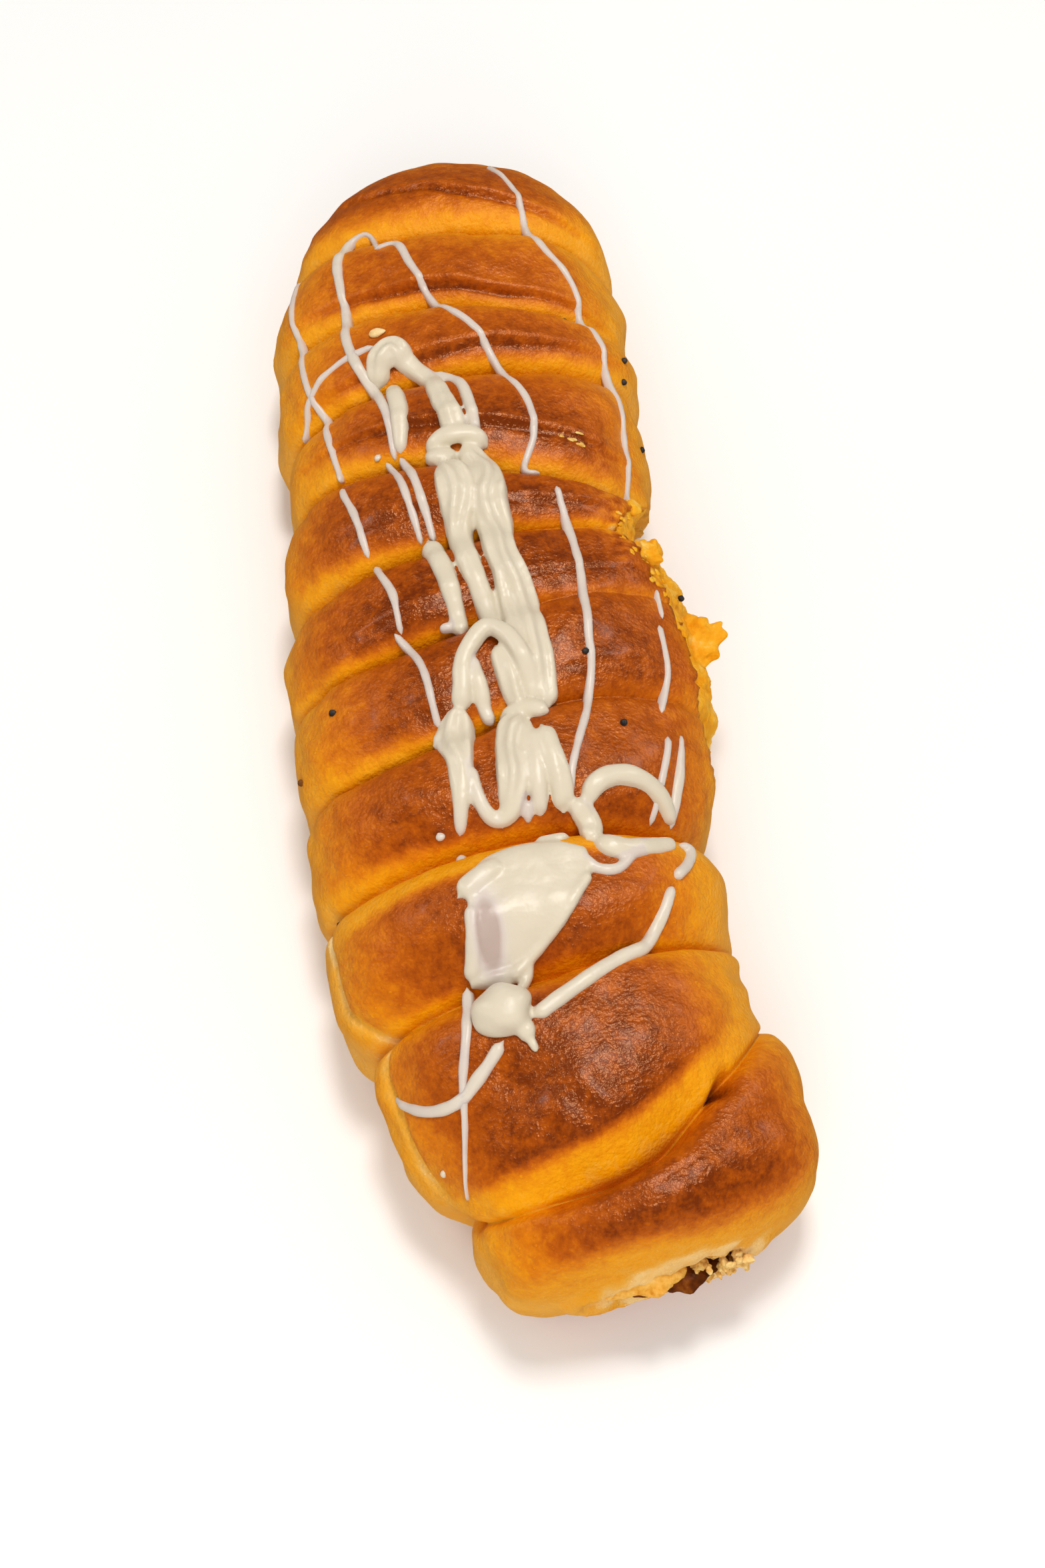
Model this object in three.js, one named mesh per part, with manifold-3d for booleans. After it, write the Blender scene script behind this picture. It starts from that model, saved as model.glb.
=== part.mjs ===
// A long sweet roll of eleven puffed bands, filled with chocolate and drizzled with white chocolate.
// Millimetres, +Z up. The roll lies along Y with its open near end towards -Y, and its flat base is z = 0.
import * as THREE from 'three';
import Module from 'manifold-3d';

const DEGREE = Math.PI / 180;

// The bands from the near end to the far end: how long, how wide each side and how high each one is, then
// the groove behind it: where the spine crosses it, how far the sections there are skewed and sag, how far
// its line leans ahead at the right and hangs back at the crest, how deep it is and how much of that depth
// is left on the right side.
const BAND_KEYS = [
  'length', 'halfWidth', 'height', 'spineX', 'skew', 'sag', 'lean', 'hang', 'depth', 'right',
];
const BANDS = [
  [24, 27.2, 35, 3.2, 6, 5, 1.5, 6, 2, 1],
  [19, 30.9, 39, -2.2, -1, 0, -1, 0, 1.3, 1],
  [20.4, 33.2, 41, -5, -0.5, 0, 1.5, -2, 1.3, 1],
  [20.1, 33.6, 41.5, -3.4, 5.5, 0, 4, -3, 1, 0.35],
  [21.1, 35.9, 42, -2.1, 6.5, 0, 1.8, -1, 1, 0.15],
  [16.6, 35.7, 42, -2.3, -1.5, 0, 2.6, -0.7, 1, 0.4],
  [12.4, 34, 41.5, -2.2, -4, -2, -2.1, -1.6, 1, 1],
  [21.4, 32.6, 41, -0.8, 0, -1, 0.8, -2, 1, 1],
  [14.6, 33.7, 40, -1.2, 1, -2.5, -1, -2.5, 1, 1],
  [20.8, 33.1, 38.5, 2, 2, -1, 0.3, -2.4, 1, 1],
  [30.6, 29, 37, 6.5, 0, 0, 0, 0, 1, 1],
].map((row) => Object.fromEntries(BAND_KEYS.map((key, i) => [key, row[i]])));
const NEAR_Y = -109.0;
const NEAR_SPINE_X = 12.8;
const NEAR_SKEW = -10.0;
const NEAR_ROUNDING = { length: 12.0, squareness: 2.6 };
const FAR_ROUNDING = { length: 26.0, squareness: 2.1 };

// The cross section: an oval about its widest level, squarer and cut flat below.
const WIDEST_LEVEL = 0.42;
const TOP_SQUARENESS = 2.2;
const BASE_SQUARENESS = 3.0;
const BASE_SINK = 1.5;

// The grooves: depth at the crest, at the sides and underneath. A band's profile rises over its front to
// the crown and falls steeply behind it. The share of a groove on the right takes over at the side's blend.
const GROOVE_DEPTH = { crest: 5, side: 2, under: 0.8 };
const PROFILE = { crown: 0.5, frontCurve: 2.2, frontPower: 0.7, backCurve: 4, backPower: 0.6 };
const RIGHT_BLEND = { from: 0.25, width: 0.12 };

// The torn strip on the right side: its ends along the roll, its upper edge in degrees round from the
// crest at a few places along, its lower edge and its depth.
const TEAR = {
  near: 92.0,
  far: 136.0,
  upperAlong: [92.0, 106.0, 118.0, 126.0, 136.0],
  upperTurn: [82.0, 75.0, 71.0, 62.0, 62.0],
  lowerTurn: 112.0,
  depth: 2.4,
  fade: 3.0,
  crumble: { mean: 0.7, swing: 0.3, along: [0.9, -0.5], round: [0.21, 0.37] },
};
// The crumb flap that stands out of the torn strip, and the tongue of dough over the filling's end.
const FLAP = { along: 101, turn: 84, lift: 1.6, size: [1.8, 4.2, 4.6], wobble: 0.22, rows: 5, sides: 9 };
const TONGUE = { centre: [5.9, -109.4, 18.4], size: [5.6, 3.4, 2.6], wobble: 0.12, rows: 4, sides: 9 };

// The chocolate filling: an oval rod that follows the spine and stands out a little at the near end.
const FILLING = {
  nearOverhang: 3.2,
  farCover: 22.0,
  level: 13.2,
  halfWidth: 10.8,
  halfHeight: 4.4,
  nearOffset: -4.8,
  offsetReach: 40.0,
  steps: 16,
  sides: 12,
  blunt: 0.8,
  uneven: { swing: 0.05, lobes: 3, twist: 1.3 },
  gap: 0.3,
};

// White chocolate: every strand is a list of places on the crust, as millimetres along the roll,
// degrees round from the crest (right positive) and width in millimetres.
const FAR_THREADS = [
  [[212, 22, 1.3], [201, 32, 1.4], [189, 39, 1.6], [180, 52, 1.5], [169, 58, 1.4], [156, 62, 1.5],
    [144, 65, 1.4], [133, 64, 1.1]],
  [[188, -34, 1.2], [195, -43, 1.3], [194, -48, 1.8], [187, -50, 2.3], [178, -47, 2.0], [167, -43, 2.2],
    [158, -38, 2.2], [149, -33, 1.8], [138, -31, 1.2]],
  [[188, -35, 1.2], [189, -29, 1.5], [181, -18, 1.7], [171, -4, 1.4], [165, 8, 1.7], [154, 20, 1.4],
    [149, 25, 1.7], [142, 27, 1.5], [134, 24, 1.2]],
];
const LEFT_THREADS = [
  [[190, -72, 1.3], [177, -67, 1.5], [163, -59, 1.6], [151, -54, 1.6], [137, -52, 1.2]],
  [[134.5, -51, 1.5], [127, -45, 1.7], [122, -44, 1.3]],
  [[120, -42, 1.4], [113, -36, 1.7], [107, -36, 1.2]],
  [[107, -38, 1.4], [99, -30, 1.6], [87, -26, 1.3]],
  [[156, -64, 1.0], [161, -57, 1.4], [163, -44, 1.5], [163, -33, 1.6]],
];
const HEAD_STRANDS = [
  [[164, -28, 3.4], [162, -32, 3.4], [156, -32, 3.4]],
  [[163.5, -30, 3.4], [163, -25, 3.8], [159, -20, 3.4], [155, -13, 3.0], [149, -8, 4.2], [142, -4, 4.0]],
  [[156, -26, 2.6], [149, -24, 3.2], [140, -28, 2.2]],
  [[156.5, -12, 1.2], [153, -3, 1.5], [147, 3, 1.5], [141.5, 4, 1.4]],
  [[136, -18, 2.0], [140, -12, 2.6], [141, -2, 2.4], [140, 8, 2.4], [137, 10, 1.8]],
];
const RIBBON_STRANDS = [
  [[137, -12, 3.0], [131, -13, 4.4], [126, -11, 4.6], [119.5, -10, 4.0]],
  [[138, -3, 3.0], [131, -2, 4.8], [126, -1, 4.6], [119.5, 1, 4.4]],
  [[137, 4, 2.4], [131, 7, 3.6], [126, 9, 4.0], [119.5, 9, 4.2]],
  [[136, -31, 1.8], [131, -26, 2.2], [124, -24, 2.0], [120, -22, 2.4], [114, -18, 2.6], [107, -16, 2.4]],
  [[136.5, -27, 1.8], [132, -20, 2.2], [125, -18, 2.2], [121, -18, 2.2], [114, -13, 2.4], [106, -12, 2.2]],
  [[106, -20, 1.2], [106.5, -16, 1.6]],
  [[120, -8, 3.6], [113, -6, 4.0], [105, -3, 3.8], [101, -1, 3.0]],
  [[120, 1, 4.2], [113, 5, 5.0], [104, 7, 5.0], [97, 9, 4.6], [88, 12, 3.6]],
  [[120, 9, 3.6], [113, 11, 4.2], [104, 14, 4.4], [96, 16, 4.0], [86, 17, 3.6]],
];
const LOOP_STRANDS = [
  [[86, -18, 3.0], [94, -17, 3.0], [99, -16, 2.8], [102.5, -10, 2.8], [103.5, -3, 2.9], [100, 6, 2.8],
    [95, 11, 2.8], [87, 13, 3.4]],
  [[99, -10, 1.8], [95, -10, 2.2], [90, -8, 2.4], [84, -5, 2.0]],
  [[87, 5, 3.6], [84, 4, 6.0], [77, 2, 5.6], [72, -1, 3.8], [69, -5, 2.6], [68.5, -9, 1.9], [72, -14, 1.7],
    [76, -15, 1.6]],
  [[85, 11, 3.4], [77, 11, 2.8], [71, 10, 2.8], [68.5, 10, 2.2]],
  [[86, 16, 3.4], [79, 17, 3.0], [73, 20, 3.2], [68.5, 20, 3.2]],
  [[87, -18, 4.6], [84, -18, 7.4], [80, -18, 4.4], [74, -19, 3.2], [69, -22, 2.0], [66.5, -24, 1.0]],
];
const RIGHT_STRANDS = [
  [[129.5, 32, 1.2], [124, 34, 1.7], [112, 34, 1.7], [99, 32, 1.7], [87, 32, 1.9], [81, 28, 1.6],
    [71, 22, 1.6]],
  [[101, 58, 1.3], [90, 58, 1.4], [86, 56, 1.2]],
  [[81.5, 56, 1.6], [73, 53, 1.5], [68, 52, 1.2]],
  [[82.5, 62, 1.0], [77, 61, 2.4], [72, 60, 2.2], [68, 60, 1.2]],
  [[68.5, 26, 2.6], [71.5, 30, 3.2], [73.3, 36, 3.2], [73, 44, 3.0], [71, 52, 2.6], [68, 58, 2.2],
    [65, 60, 1.8]],
  [[70, 22, 3.4], [68, 26, 4.4], [65, 28, 4.4], [61.5, 28, 4.6]],
  [[62, 30, 3.4], [60, 36, 3.2], [60, 44, 3.2], [61, 52, 2.6]],
  [[59, 23, 1.6], [56, 28, 1.6], [56, 34, 1.6], [60, 42, 1.6]],
  [[61.5, 54, 1.4], [62.5, 59, 1.6], [59, 60, 1.8], [55, 53, 1.6]],
];
const SHEET_STRANDS = [
  [[61, -22, 4.5], [57, -25, 5.0], [51, -25, 4.5], [44, -28, 3.5]],
  [[62, -13, 6.0], [57, -15, 6.5], [51, -19, 5.5], [44, -26, 3.5]],
  [[62.5, -4, 6.0], [57, -6, 6.5], [51, -12, 6.0], [45, -23, 3.5]],
  [[62.5, 5, 6.0], [57, 3, 6.5], [51, -5, 6.0], [45.5, -20, 3.5]],
  [[62.5, 13, 6.0], [57, 11, 6.5], [51.5, 2, 5.5], [46, -15, 3.5]],
  [[61, 20, 4.5], [56, 18, 5.0], [51, 9, 4.5], [47, -5, 3.5], [44, -20, 3.0]],
];
const NEAR_THREADS = [
  [[38, -16, 2.4], [39, 0, 2.4], [40, 18, 2.2], [41, 33, 2.0], [47.5, 45, 2.2], [53, 50, 1.6]],
  [[43, -35, 1.8], [39.5, -41, 1.6], [36, -48, 1.4]],
  [[37.5, -31, 2.2], [37, -40, 2.0], [35.5, -50, 2.4], [35.5, -57, 2.0], [37, -67, 1.8], [39.5, -75, 1.2]],
  [[38.5, -24, 3.2], [35.5, -22, 1.0]],
];
const DROP = { along: 40.5, turn: -26, radius: 4.3, lift: 0.4, wobble: 0.05, rows: 5, sides: 10 };

// A strand's raised height for its width, how far its edges sink into the crust, the spacing of its
// rings, the width from which its top is flat and the share of its width and height that this top has,
// the share left at its tips and how far they reach on, and the length over which it bridges a groove.
const STRAND = {
  height: 0.42,
  heightMin: 0.7,
  heightMax: 1.9,
  sink: 0.6,
  spacing: 5.4,
  flatFrom: 2.5,
  flatShare: 0.56,
  flatHeight: 0.8,
  tipShare: 0.72,
  tipReach: 0.35,
  bridge: 2.6,
};

// Seeds on the crust: poppy seeds and one sesame seed, as along and turn.
const POPPY_RADIUS = 0.62;
const POPPY_SEEDS = [
  [171, 53], [167, 73], [163, 73], [146, 79], [95, 30], [83, 42], [96, -60], [62, -76], [88, -78],
];
const SESAME = { along: 167, turn: -31, size: [1.6, 1.0, 0.6], sides: 7 };

// Rows of the crust grid as shares of a band, closer at the two ends, and the columns round the section.
const BAND_ROWS = [0, 0.1, 0.27, 0.52, 0.78, 0.95];
const NEAR_ROWS = [0.014, 0.055, 0.14, 0.28, 0.44, 0.6, 0.79, 0.95];
const FAR_ROWS = [0, 0.09, 0.24, 0.41, 0.57, 0.72, 0.845, 0.933, 0.985];
const TOP_REACH = 120;
const TOP_COLUMNS = 24;
const BASE_COLUMNS = 5;

// A smooth curve through given values at given stops, with its slope.
function curveThrough(stops, values) {
  const slopes = values.map((value, i) => {
    const before = Math.max(i - 1, 0);
    const after = Math.min(i + 1, stops.length - 1);
    if (before === i || after === i) {
      return (values[after] - values[before]) / (stops[after] - stops[before]);
    }
    const back = stops[i] - stops[before];
    const ahead = stops[after] - stops[i];
    const rise = back * back * (values[after] - value) + ahead * ahead * (value - values[before]);
    return rise / (back * ahead * (back + ahead));
  });
  return (place) => {
    let i = 0;
    while (i < stops.length - 2 && place > stops[i + 1]) {
      i += 1;
    }
    const span = stops[i + 1] - stops[i];
    const t = THREE.MathUtils.clamp((place - stops[i]) / span, 0, 1);
    const ease = t * t * (3 - 2 * t);
    const value = values[i] * (1 - ease) + values[i + 1] * ease
      + span * t * (1 - t) * ((1 - t) * slopes[i] - t * slopes[i + 1]);
    const slope = (6 * t * (1 - t) * (values[i + 1] - values[i])) / span
      + (1 - t) * (1 - 3 * t) * slopes[i] + t * (3 * t - 2) * slopes[i + 1];
    return { value, slope };
  };
}

const EDGES = [0];
for (const band of BANDS) {
  EDGES.push(EDGES.at(-1) + band.length);
}
const LENGTH = EDGES.at(-1);
const MIDDLES = BANDS.map((band, i) => EDGES[i] + band.length / 2);
const spineAt = curveThrough(EDGES, [NEAR_SPINE_X, ...BANDS.map((band) => band.spineX)]);
const skewAt = curveThrough(EDGES, [NEAR_SKEW, ...BANDS.map((band) => band.skew)]);
const sagAt = curveThrough(EDGES, [0, ...BANDS.map((band) => band.sag)]);
const halfWidthAt = curveThrough(MIDDLES, BANDS.map((band) => band.halfWidth));
const heightAt = curveThrough(MIDDLES, BANDS.map((band) => band.height));
const tearTopAt = curveThrough(TEAR.upperAlong, TEAR.upperTurn);

// How far the section has shrunk into the rounded ends: 1 along the roll, 0 at the two tips.
function endScale(along) {
  const near = THREE.MathUtils.clamp(1 - along / NEAR_ROUNDING.length, 0, 1);
  const far = THREE.MathUtils.clamp(1 - (LENGTH - along) / FAR_ROUNDING.length, 0, 1);
  const nearScale = (1 - near ** NEAR_ROUNDING.squareness) ** (1 / NEAR_ROUNDING.squareness);
  const farScale = (1 - far ** FAR_ROUNDING.squareness) ** (1 / FAR_ROUNDING.squareness);
  return nearScale * farScale;
}

// How far along the roll the line of a groove lies at a turn, given as the turn's sine and cosine.
function edgeAt(i, side, up) {
  if (i === 0 || i === BANDS.length) {
    return EDGES[i];
  }
  const { lean, hang } = BANDS[i - 1];
  return EDGES[i] + lean * side - hang * Math.max(up, 0);
}

// How deep the grooves between the bands cut at a place: each band rises slowly from the groove in
// front of it to its crown and drops steeply to the groove behind it.
function grooveCut(along, side, up) {
  let i = 0;
  while (i < BANDS.length - 1 && along >= edgeAt(i + 1, side, up)) {
    i += 1;
  }
  const start = edgeAt(i, side, up);
  const across = (along - start) / (edgeAt(i + 1, side, up) - start);
  const behind = across > PROFILE.crown;
  const grooveBand = behind ? i : i - 1;
  if (grooveBand < 0 || (behind && i === BANDS.length - 1)) {
    return 0;
  }
  const front = Math.max(1 - across / PROFILE.crown, 0);
  const back = Math.max((across - PROFILE.crown) / (1 - PROFILE.crown), 0);
  const rise = (1 - front ** PROFILE.frontCurve) ** PROFILE.frontPower;
  const fall = (1 - back ** PROFILE.backCurve) ** PROFILE.backPower;
  const groove = BANDS[grooveBand];
  const toRight = 1 / (1 + Math.exp((RIGHT_BLEND.from - side) / RIGHT_BLEND.width));
  const strength = 1 + (groove.right - 1) * toRight;
  const far = up > 0 ? GROOVE_DEPTH.crest : GROOVE_DEPTH.under;
  const depth = GROOVE_DEPTH.side + (far - GROOVE_DEPTH.side) * Math.abs(up);
  return depth * groove.depth * strength * (1 - rise * fall);
}

// How deep the torn strip is at a place, crumbly inside its edges.
function tearCut(along, turn) {
  const { near, far, lowerTurn, depth, fade, crumble } = TEAR;
  const ends = THREE.MathUtils.smoothstep(along, near, near + fade)
    * (1 - THREE.MathUtils.smoothstep(along, far - fade, far));
  const top = tearTopAt(along).value;
  const angle = turn / DEGREE;
  const sides = THREE.MathUtils.smoothstep(angle, top, top + 2 * fade)
    * (1 - THREE.MathUtils.smoothstep(angle, lowerTurn - 4 * fade, lowerTurn));
  const waves = crumble.along.map((pace, i) => Math.sin(pace * along + crumble.round[i] * angle));
  return depth * ends * sides * (crumble.mean + crumble.swing * waves[0] * waves[1]);
}

// A point of the crust at a place along the roll and a turn from its crest. relief scales the grooves.
function crustPoint(along, turn, relief = 1) {
  const side = Math.sin(turn);
  const up = Math.cos(turn);
  const height = heightAt(along).value;
  const level = WIDEST_LEVEL * height;
  const squareness = up >= 0 ? TOP_SQUARENESS : BASE_SQUARENESS;
  const reach = up >= 0 ? height - level : level + BASE_SINK;
  const sideTerm = (Math.abs(side) / halfWidthAt(along).value) ** squareness;
  const upTerm = (Math.abs(up) / reach) ** squareness;
  const cut = relief * (grooveCut(along, side, up) + tearCut(along, turn));
  const scale = endScale(along);
  const radius = ((sideTerm + upTerm) ** (-1 / squareness) - cut) * scale;
  const { value: x, slope } = spineAt(along);
  const stretch = Math.hypot(1, slope);
  const forward = new THREE.Vector3(slope / stretch, 1 / stretch, 0);
  const rightward = new THREE.Vector3(forward.y, -forward.x, 0);
  const shift = scale * (0.5 * skewAt(along).value * side - sagAt(along).value * Math.max(up, 0));
  return new THREE.Vector3(x, NEAR_Y + along, Math.max(level + radius * up, 0))
    .addScaledVector(rightward, radius * side)
    .addScaledVector(forward, shift);
}

// The crust's outward direction with the grooves left out.
function crustNormal(along, turn) {
  const step = 0.02;
  const reach = 0.5;
  const round = crustPoint(along, turn + step, 0).sub(crustPoint(along, turn - step, 0));
  const ahead = crustPoint(along + reach, turn, 0).sub(crustPoint(along - reach, turn, 0));
  return round.cross(ahead).normalize();
}

// The surface that a poured strand lies on: the crust, with the grooves partly bridged.
function pouredPoint(along, turn) {
  const places = [along - STRAND.bridge, along, along + STRAND.bridge];
  const dips = places.map((place) => crustPoint(place, turn).distanceTo(crustPoint(place, turn, 0)));
  const meanDip = dips.reduce((sum, dip) => sum + dip, 0) / dips.length;
  return crustPoint(along, turn, 0).addScaledVector(crustNormal(along, turn), -meanDip);
}

// A closed surface over rings of equal count, with a tip at each end, turned to face outwards.
function closedLoft(rings, firstTip, lastTip) {
  const count = rings[0].length;
  const points = [firstTip, ...rings.flat(), lastTip];
  const indices = [];
  const at = (ring, i) => 1 + ring * count + (i % count);
  for (let i = 0; i < count; i += 1) {
    indices.push(0, at(0, i + 1), at(0, i));
    indices.push(points.length - 1, at(rings.length - 1, i), at(rings.length - 1, i + 1));
    for (let ring = 0; ring < rings.length - 1; ring += 1) {
      indices.push(at(ring, i), at(ring, i + 1), at(ring + 1, i + 1));
      indices.push(at(ring, i), at(ring + 1, i + 1), at(ring + 1, i));
    }
  }
  let volume = 0;
  for (let i = 0; i < indices.length; i += 3) {
    const [a, b, c] = indices.slice(i, i + 3).map((index) => points[index]);
    volume += a.dot(b.clone().cross(c));
  }
  if (volume < 0) {
    indices.reverse();
  }
  return { points, indices };
}

const wasm = await Module();
wasm.setup();

// A solid for joining and cutting, and the way back to a geometry.
function solidOf({ points, indices }) {
  const vertProperties = new Float32Array(points.flatMap((point) => point.toArray()));
  return new wasm.Manifold(new wasm.Mesh({ numProp: 3, vertProperties, triVerts: new Uint32Array(indices) }));
}

function geometryOf(solid) {
  const mesh = solid.getMesh();
  const geometry = new THREE.BufferGeometry();
  geometry.setAttribute('position', new THREE.BufferAttribute(mesh.vertProperties, 3));
  geometry.setIndex(new THREE.BufferAttribute(mesh.triVerts, 1));
  geometry.computeVertexNormals();
  return geometry;
}

// The bare crust: rows follow the bands, columns run round the section with fewer underneath.
function crust() {
  const turns = [];
  for (let i = 0; i < TOP_COLUMNS; i += 1) {
    turns.push(-TOP_REACH + (2 * TOP_REACH * i) / TOP_COLUMNS);
  }
  for (let i = 0; i < BASE_COLUMNS; i += 1) {
    turns.push(TOP_REACH + ((360 - 2 * TOP_REACH) * i) / BASE_COLUMNS);
  }
  const bandRows = BANDS.map(() => BAND_ROWS).with(0, NEAR_ROWS).with(-1, FAR_ROWS);
  const rings = bandRows.flatMap((shares, i) => shares.map((share) => turns.map((turn) => {
    const angle = turn * DEGREE;
    const start = edgeAt(i, Math.sin(angle), Math.cos(angle));
    const finish = edgeAt(i + 1, Math.sin(angle), Math.cos(angle));
    return crustPoint(start + share * (finish - start), angle);
  })));
  return closedLoft(rings, crustPoint(0, 0), crustPoint(LENGTH, 0));
}

// A strand of white chocolate, draped along its places: a low arch with its edges sunk into the crust.
function strand(places) {
  const path = new THREE.CatmullRomCurve3(places.map(([along, turn]) => pouredPoint(along, turn * DEGREE)));
  const steps = Math.max(Math.ceil(path.getLength() / STRAND.spacing), 2);
  const route = new THREE.CatmullRomCurve3(places.map((place) => new THREE.Vector3(...place)));
  const stops = Array.from({ length: steps + 1 }, (_, i) => route.getPoint(i / steps));
  const beds = stops.map((stop) => pouredPoint(stop.x, stop.y * DEGREE));
  const widest = Math.max(...places.map(([, , width]) => width));
  const rings = stops.map((stop, i) => {
    const normal = crustNormal(stop.x, stop.y * DEGREE);
    const ahead = beds[Math.min(i + 1, steps)].clone().sub(beds[Math.max(i - 1, 0)]).normalize();
    const across = normal.clone().cross(ahead).normalize();
    const height = THREE.MathUtils.clamp(STRAND.height * stop.z, STRAND.heightMin, STRAND.heightMax);
    const tip = i === 0 || i === steps ? STRAND.tipShare : 1;
    const edge = (stop.z * tip) / 2;
    const shoulder = edge * STRAND.flatShare;
    const level = STRAND.flatHeight * height * tip;
    const flatTop = [[-shoulder, level], [shoulder, level]];
    const top = widest < STRAND.flatFrom ? [[0, height * tip]] : flatTop;
    const profile = [[-edge, -STRAND.sink], ...top, [edge, -STRAND.sink]];
    return profile.map(([aside, raised]) => beds[i].clone()
      .addScaledVector(across, aside)
      .addScaledVector(normal, raised));
  });
  const firstPush = beds[0].clone().sub(beds[1]).setLength(STRAND.tipReach * stops[0].z);
  const lastPush = beds[steps].clone().sub(beds[steps - 1]).setLength(STRAND.tipReach * stops[steps].z);
  return closedLoft(rings, beds[0].clone().add(firstPush), beds[steps].clone().add(lastPush));
}

// An uneven rounded lump at a place, such as a seed, a drop or a crumb, with few sides.
function lump(centre, size, rotation, wobble, rowCount, sideCount) {
  const ringPoint = (polar, round) => {
    const uneven = 1 + wobble * Math.sin(3 * round + 2 * polar) * Math.cos(2 * round - 3 * polar);
    const local = new THREE.Vector3(
      Math.sin(polar) * Math.cos(round) * size[0],
      Math.sin(polar) * Math.sin(round) * size[1],
      Math.cos(polar) * size[2],
    );
    return local.multiplyScalar(uneven).applyQuaternion(rotation).add(centre);
  };
  const rings = [];
  for (let row = 1; row <= rowCount; row += 1) {
    const polar = (Math.PI * row) / (rowCount + 1);
    rings.push(Array.from({ length: sideCount }, (_, i) => ringPoint(polar, (2 * Math.PI * i) / sideCount)));
  }
  return closedLoft(rings, ringPoint(0, 0), ringPoint(Math.PI, 0));
}

// A lump that lies on the crust, its own Z along the crust's outward direction.
function crustLump({ along, turn, size, lift = 0, wobble = 0, rows = 2, sides = 5 }) {
  const angle = turn * DEGREE;
  const normal = crustNormal(along, angle);
  const rotation = new THREE.Quaternion().setFromUnitVectors(new THREE.Vector3(0, 0, 1), normal);
  const centre = crustPoint(along, angle).addScaledVector(normal, lift);
  return lump(centre, size, rotation, wobble, rows, sides);
}

// The filling rod, or the channel round it when grown by a gap.
function fillingRod(grow) {
  const start = -FILLING.nearOverhang - grow;
  const finish = LENGTH - FILLING.farCover + grow;
  const rings = [];
  for (let step = 0; step <= FILLING.steps; step += 1) {
    const along = start + ((finish - start) * step) / FILLING.steps;
    const { value: x, slope } = spineAt(Math.max(along, 0));
    const drift = slope * Math.min(along, 0);
    const aside = FILLING.nearOffset * Math.max(1 - Math.max(along, 0) / FILLING.offsetReach, 0);
    const blunt = step === 0 || step === FILLING.steps ? FILLING.blunt : 1;
    const ring = [];
    for (let i = 0; i < FILLING.sides; i += 1) {
      const round = (2 * Math.PI * i) / FILLING.sides;
      const { swing, lobes, twist } = FILLING.uneven;
      const uneven = 1 + swing * Math.sin(lobes * round + twist * step);
      const wide = (FILLING.halfWidth * uneven * blunt + grow) * Math.cos(round);
      const high = (FILLING.halfHeight * uneven * blunt + grow) * Math.sin(round);
      ring.push(new THREE.Vector3(x + drift + aside + wide, NEAR_Y + along, FILLING.level + high));
    }
    rings.push(ring);
  }
  const middle = (ring) => ring.reduce((sum, point) => sum.add(point), new THREE.Vector3())
    .divideScalar(ring.length);
  return closedLoft(rings, middle(rings[0]), middle(rings.at(-1)));
}

// The roll: crust, crumb flap and tongue, cut by the filling's channel, then topped.
function rollSolid() {
  const flap = crustLump(FLAP);
  const upright = new THREE.Quaternion();
  const tongueCentre = new THREE.Vector3(...TONGUE.centre);
  const tongue = lump(tongueCentre, TONGUE.size, upright, TONGUE.wobble, TONGUE.rows, TONGUE.sides);
  const dropSize = Array(3).fill(DROP.radius);
  const poppySize = Array(3).fill(POPPY_RADIUS);
  const toppings = [
    ...[FAR_THREADS, LEFT_THREADS, HEAD_STRANDS, RIBBON_STRANDS, LOOP_STRANDS].flat().map(strand),
    ...[RIGHT_STRANDS, SHEET_STRANDS, NEAR_THREADS].flat().map(strand),
    crustLump({ ...DROP, size: dropSize }),
    crustLump(SESAME),
    ...POPPY_SEEDS.map(([along, turn]) => crustLump({ along, turn, size: poppySize })),
  ];
  const dough = [flap, tongue].reduce((solid, piece) => solid.add(solidOf(piece)), solidOf(crust()));
  const hollowed = dough.subtract(solidOf(fillingRod(FILLING.gap)));
  return toppings.reduce((solid, piece) => solid.add(solidOf(piece)), hollowed);
}

const roll = new THREE.Mesh(
  geometryOf(rollSolid()),
  new THREE.MeshStandardMaterial({ name: 'browned crust', color: 0xb8661a, roughness: 0.45, metalness: 0 }),
);
roll.name = 'roll';

const filling = new THREE.Mesh(
  geometryOf(solidOf(fillingRod(0))),
  new THREE.MeshStandardMaterial({ name: 'chocolate', color: 0x4a2610, roughness: 0.5, metalness: 0 }),
);
filling.name = 'filling';

const sweetRoll = new THREE.Group();
sweetRoll.add(roll, filling);

export default sweetRoll;
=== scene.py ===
# %% [markdown]
# # A filled sweet roll, from bare solid to bakery counter
# The object is a long, slightly bent sweet roll: eleven puffed bands of dough with an egg-washed, browned
# crust, a chocolate filling that shows at the open near end, and white chocolate drizzled over the top.
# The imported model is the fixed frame: it gives the place and the size of everything. It could be given a
# material and left as it is, but its faces are too coarse for creases and crumb, so finer pieces take
# its place.

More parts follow.
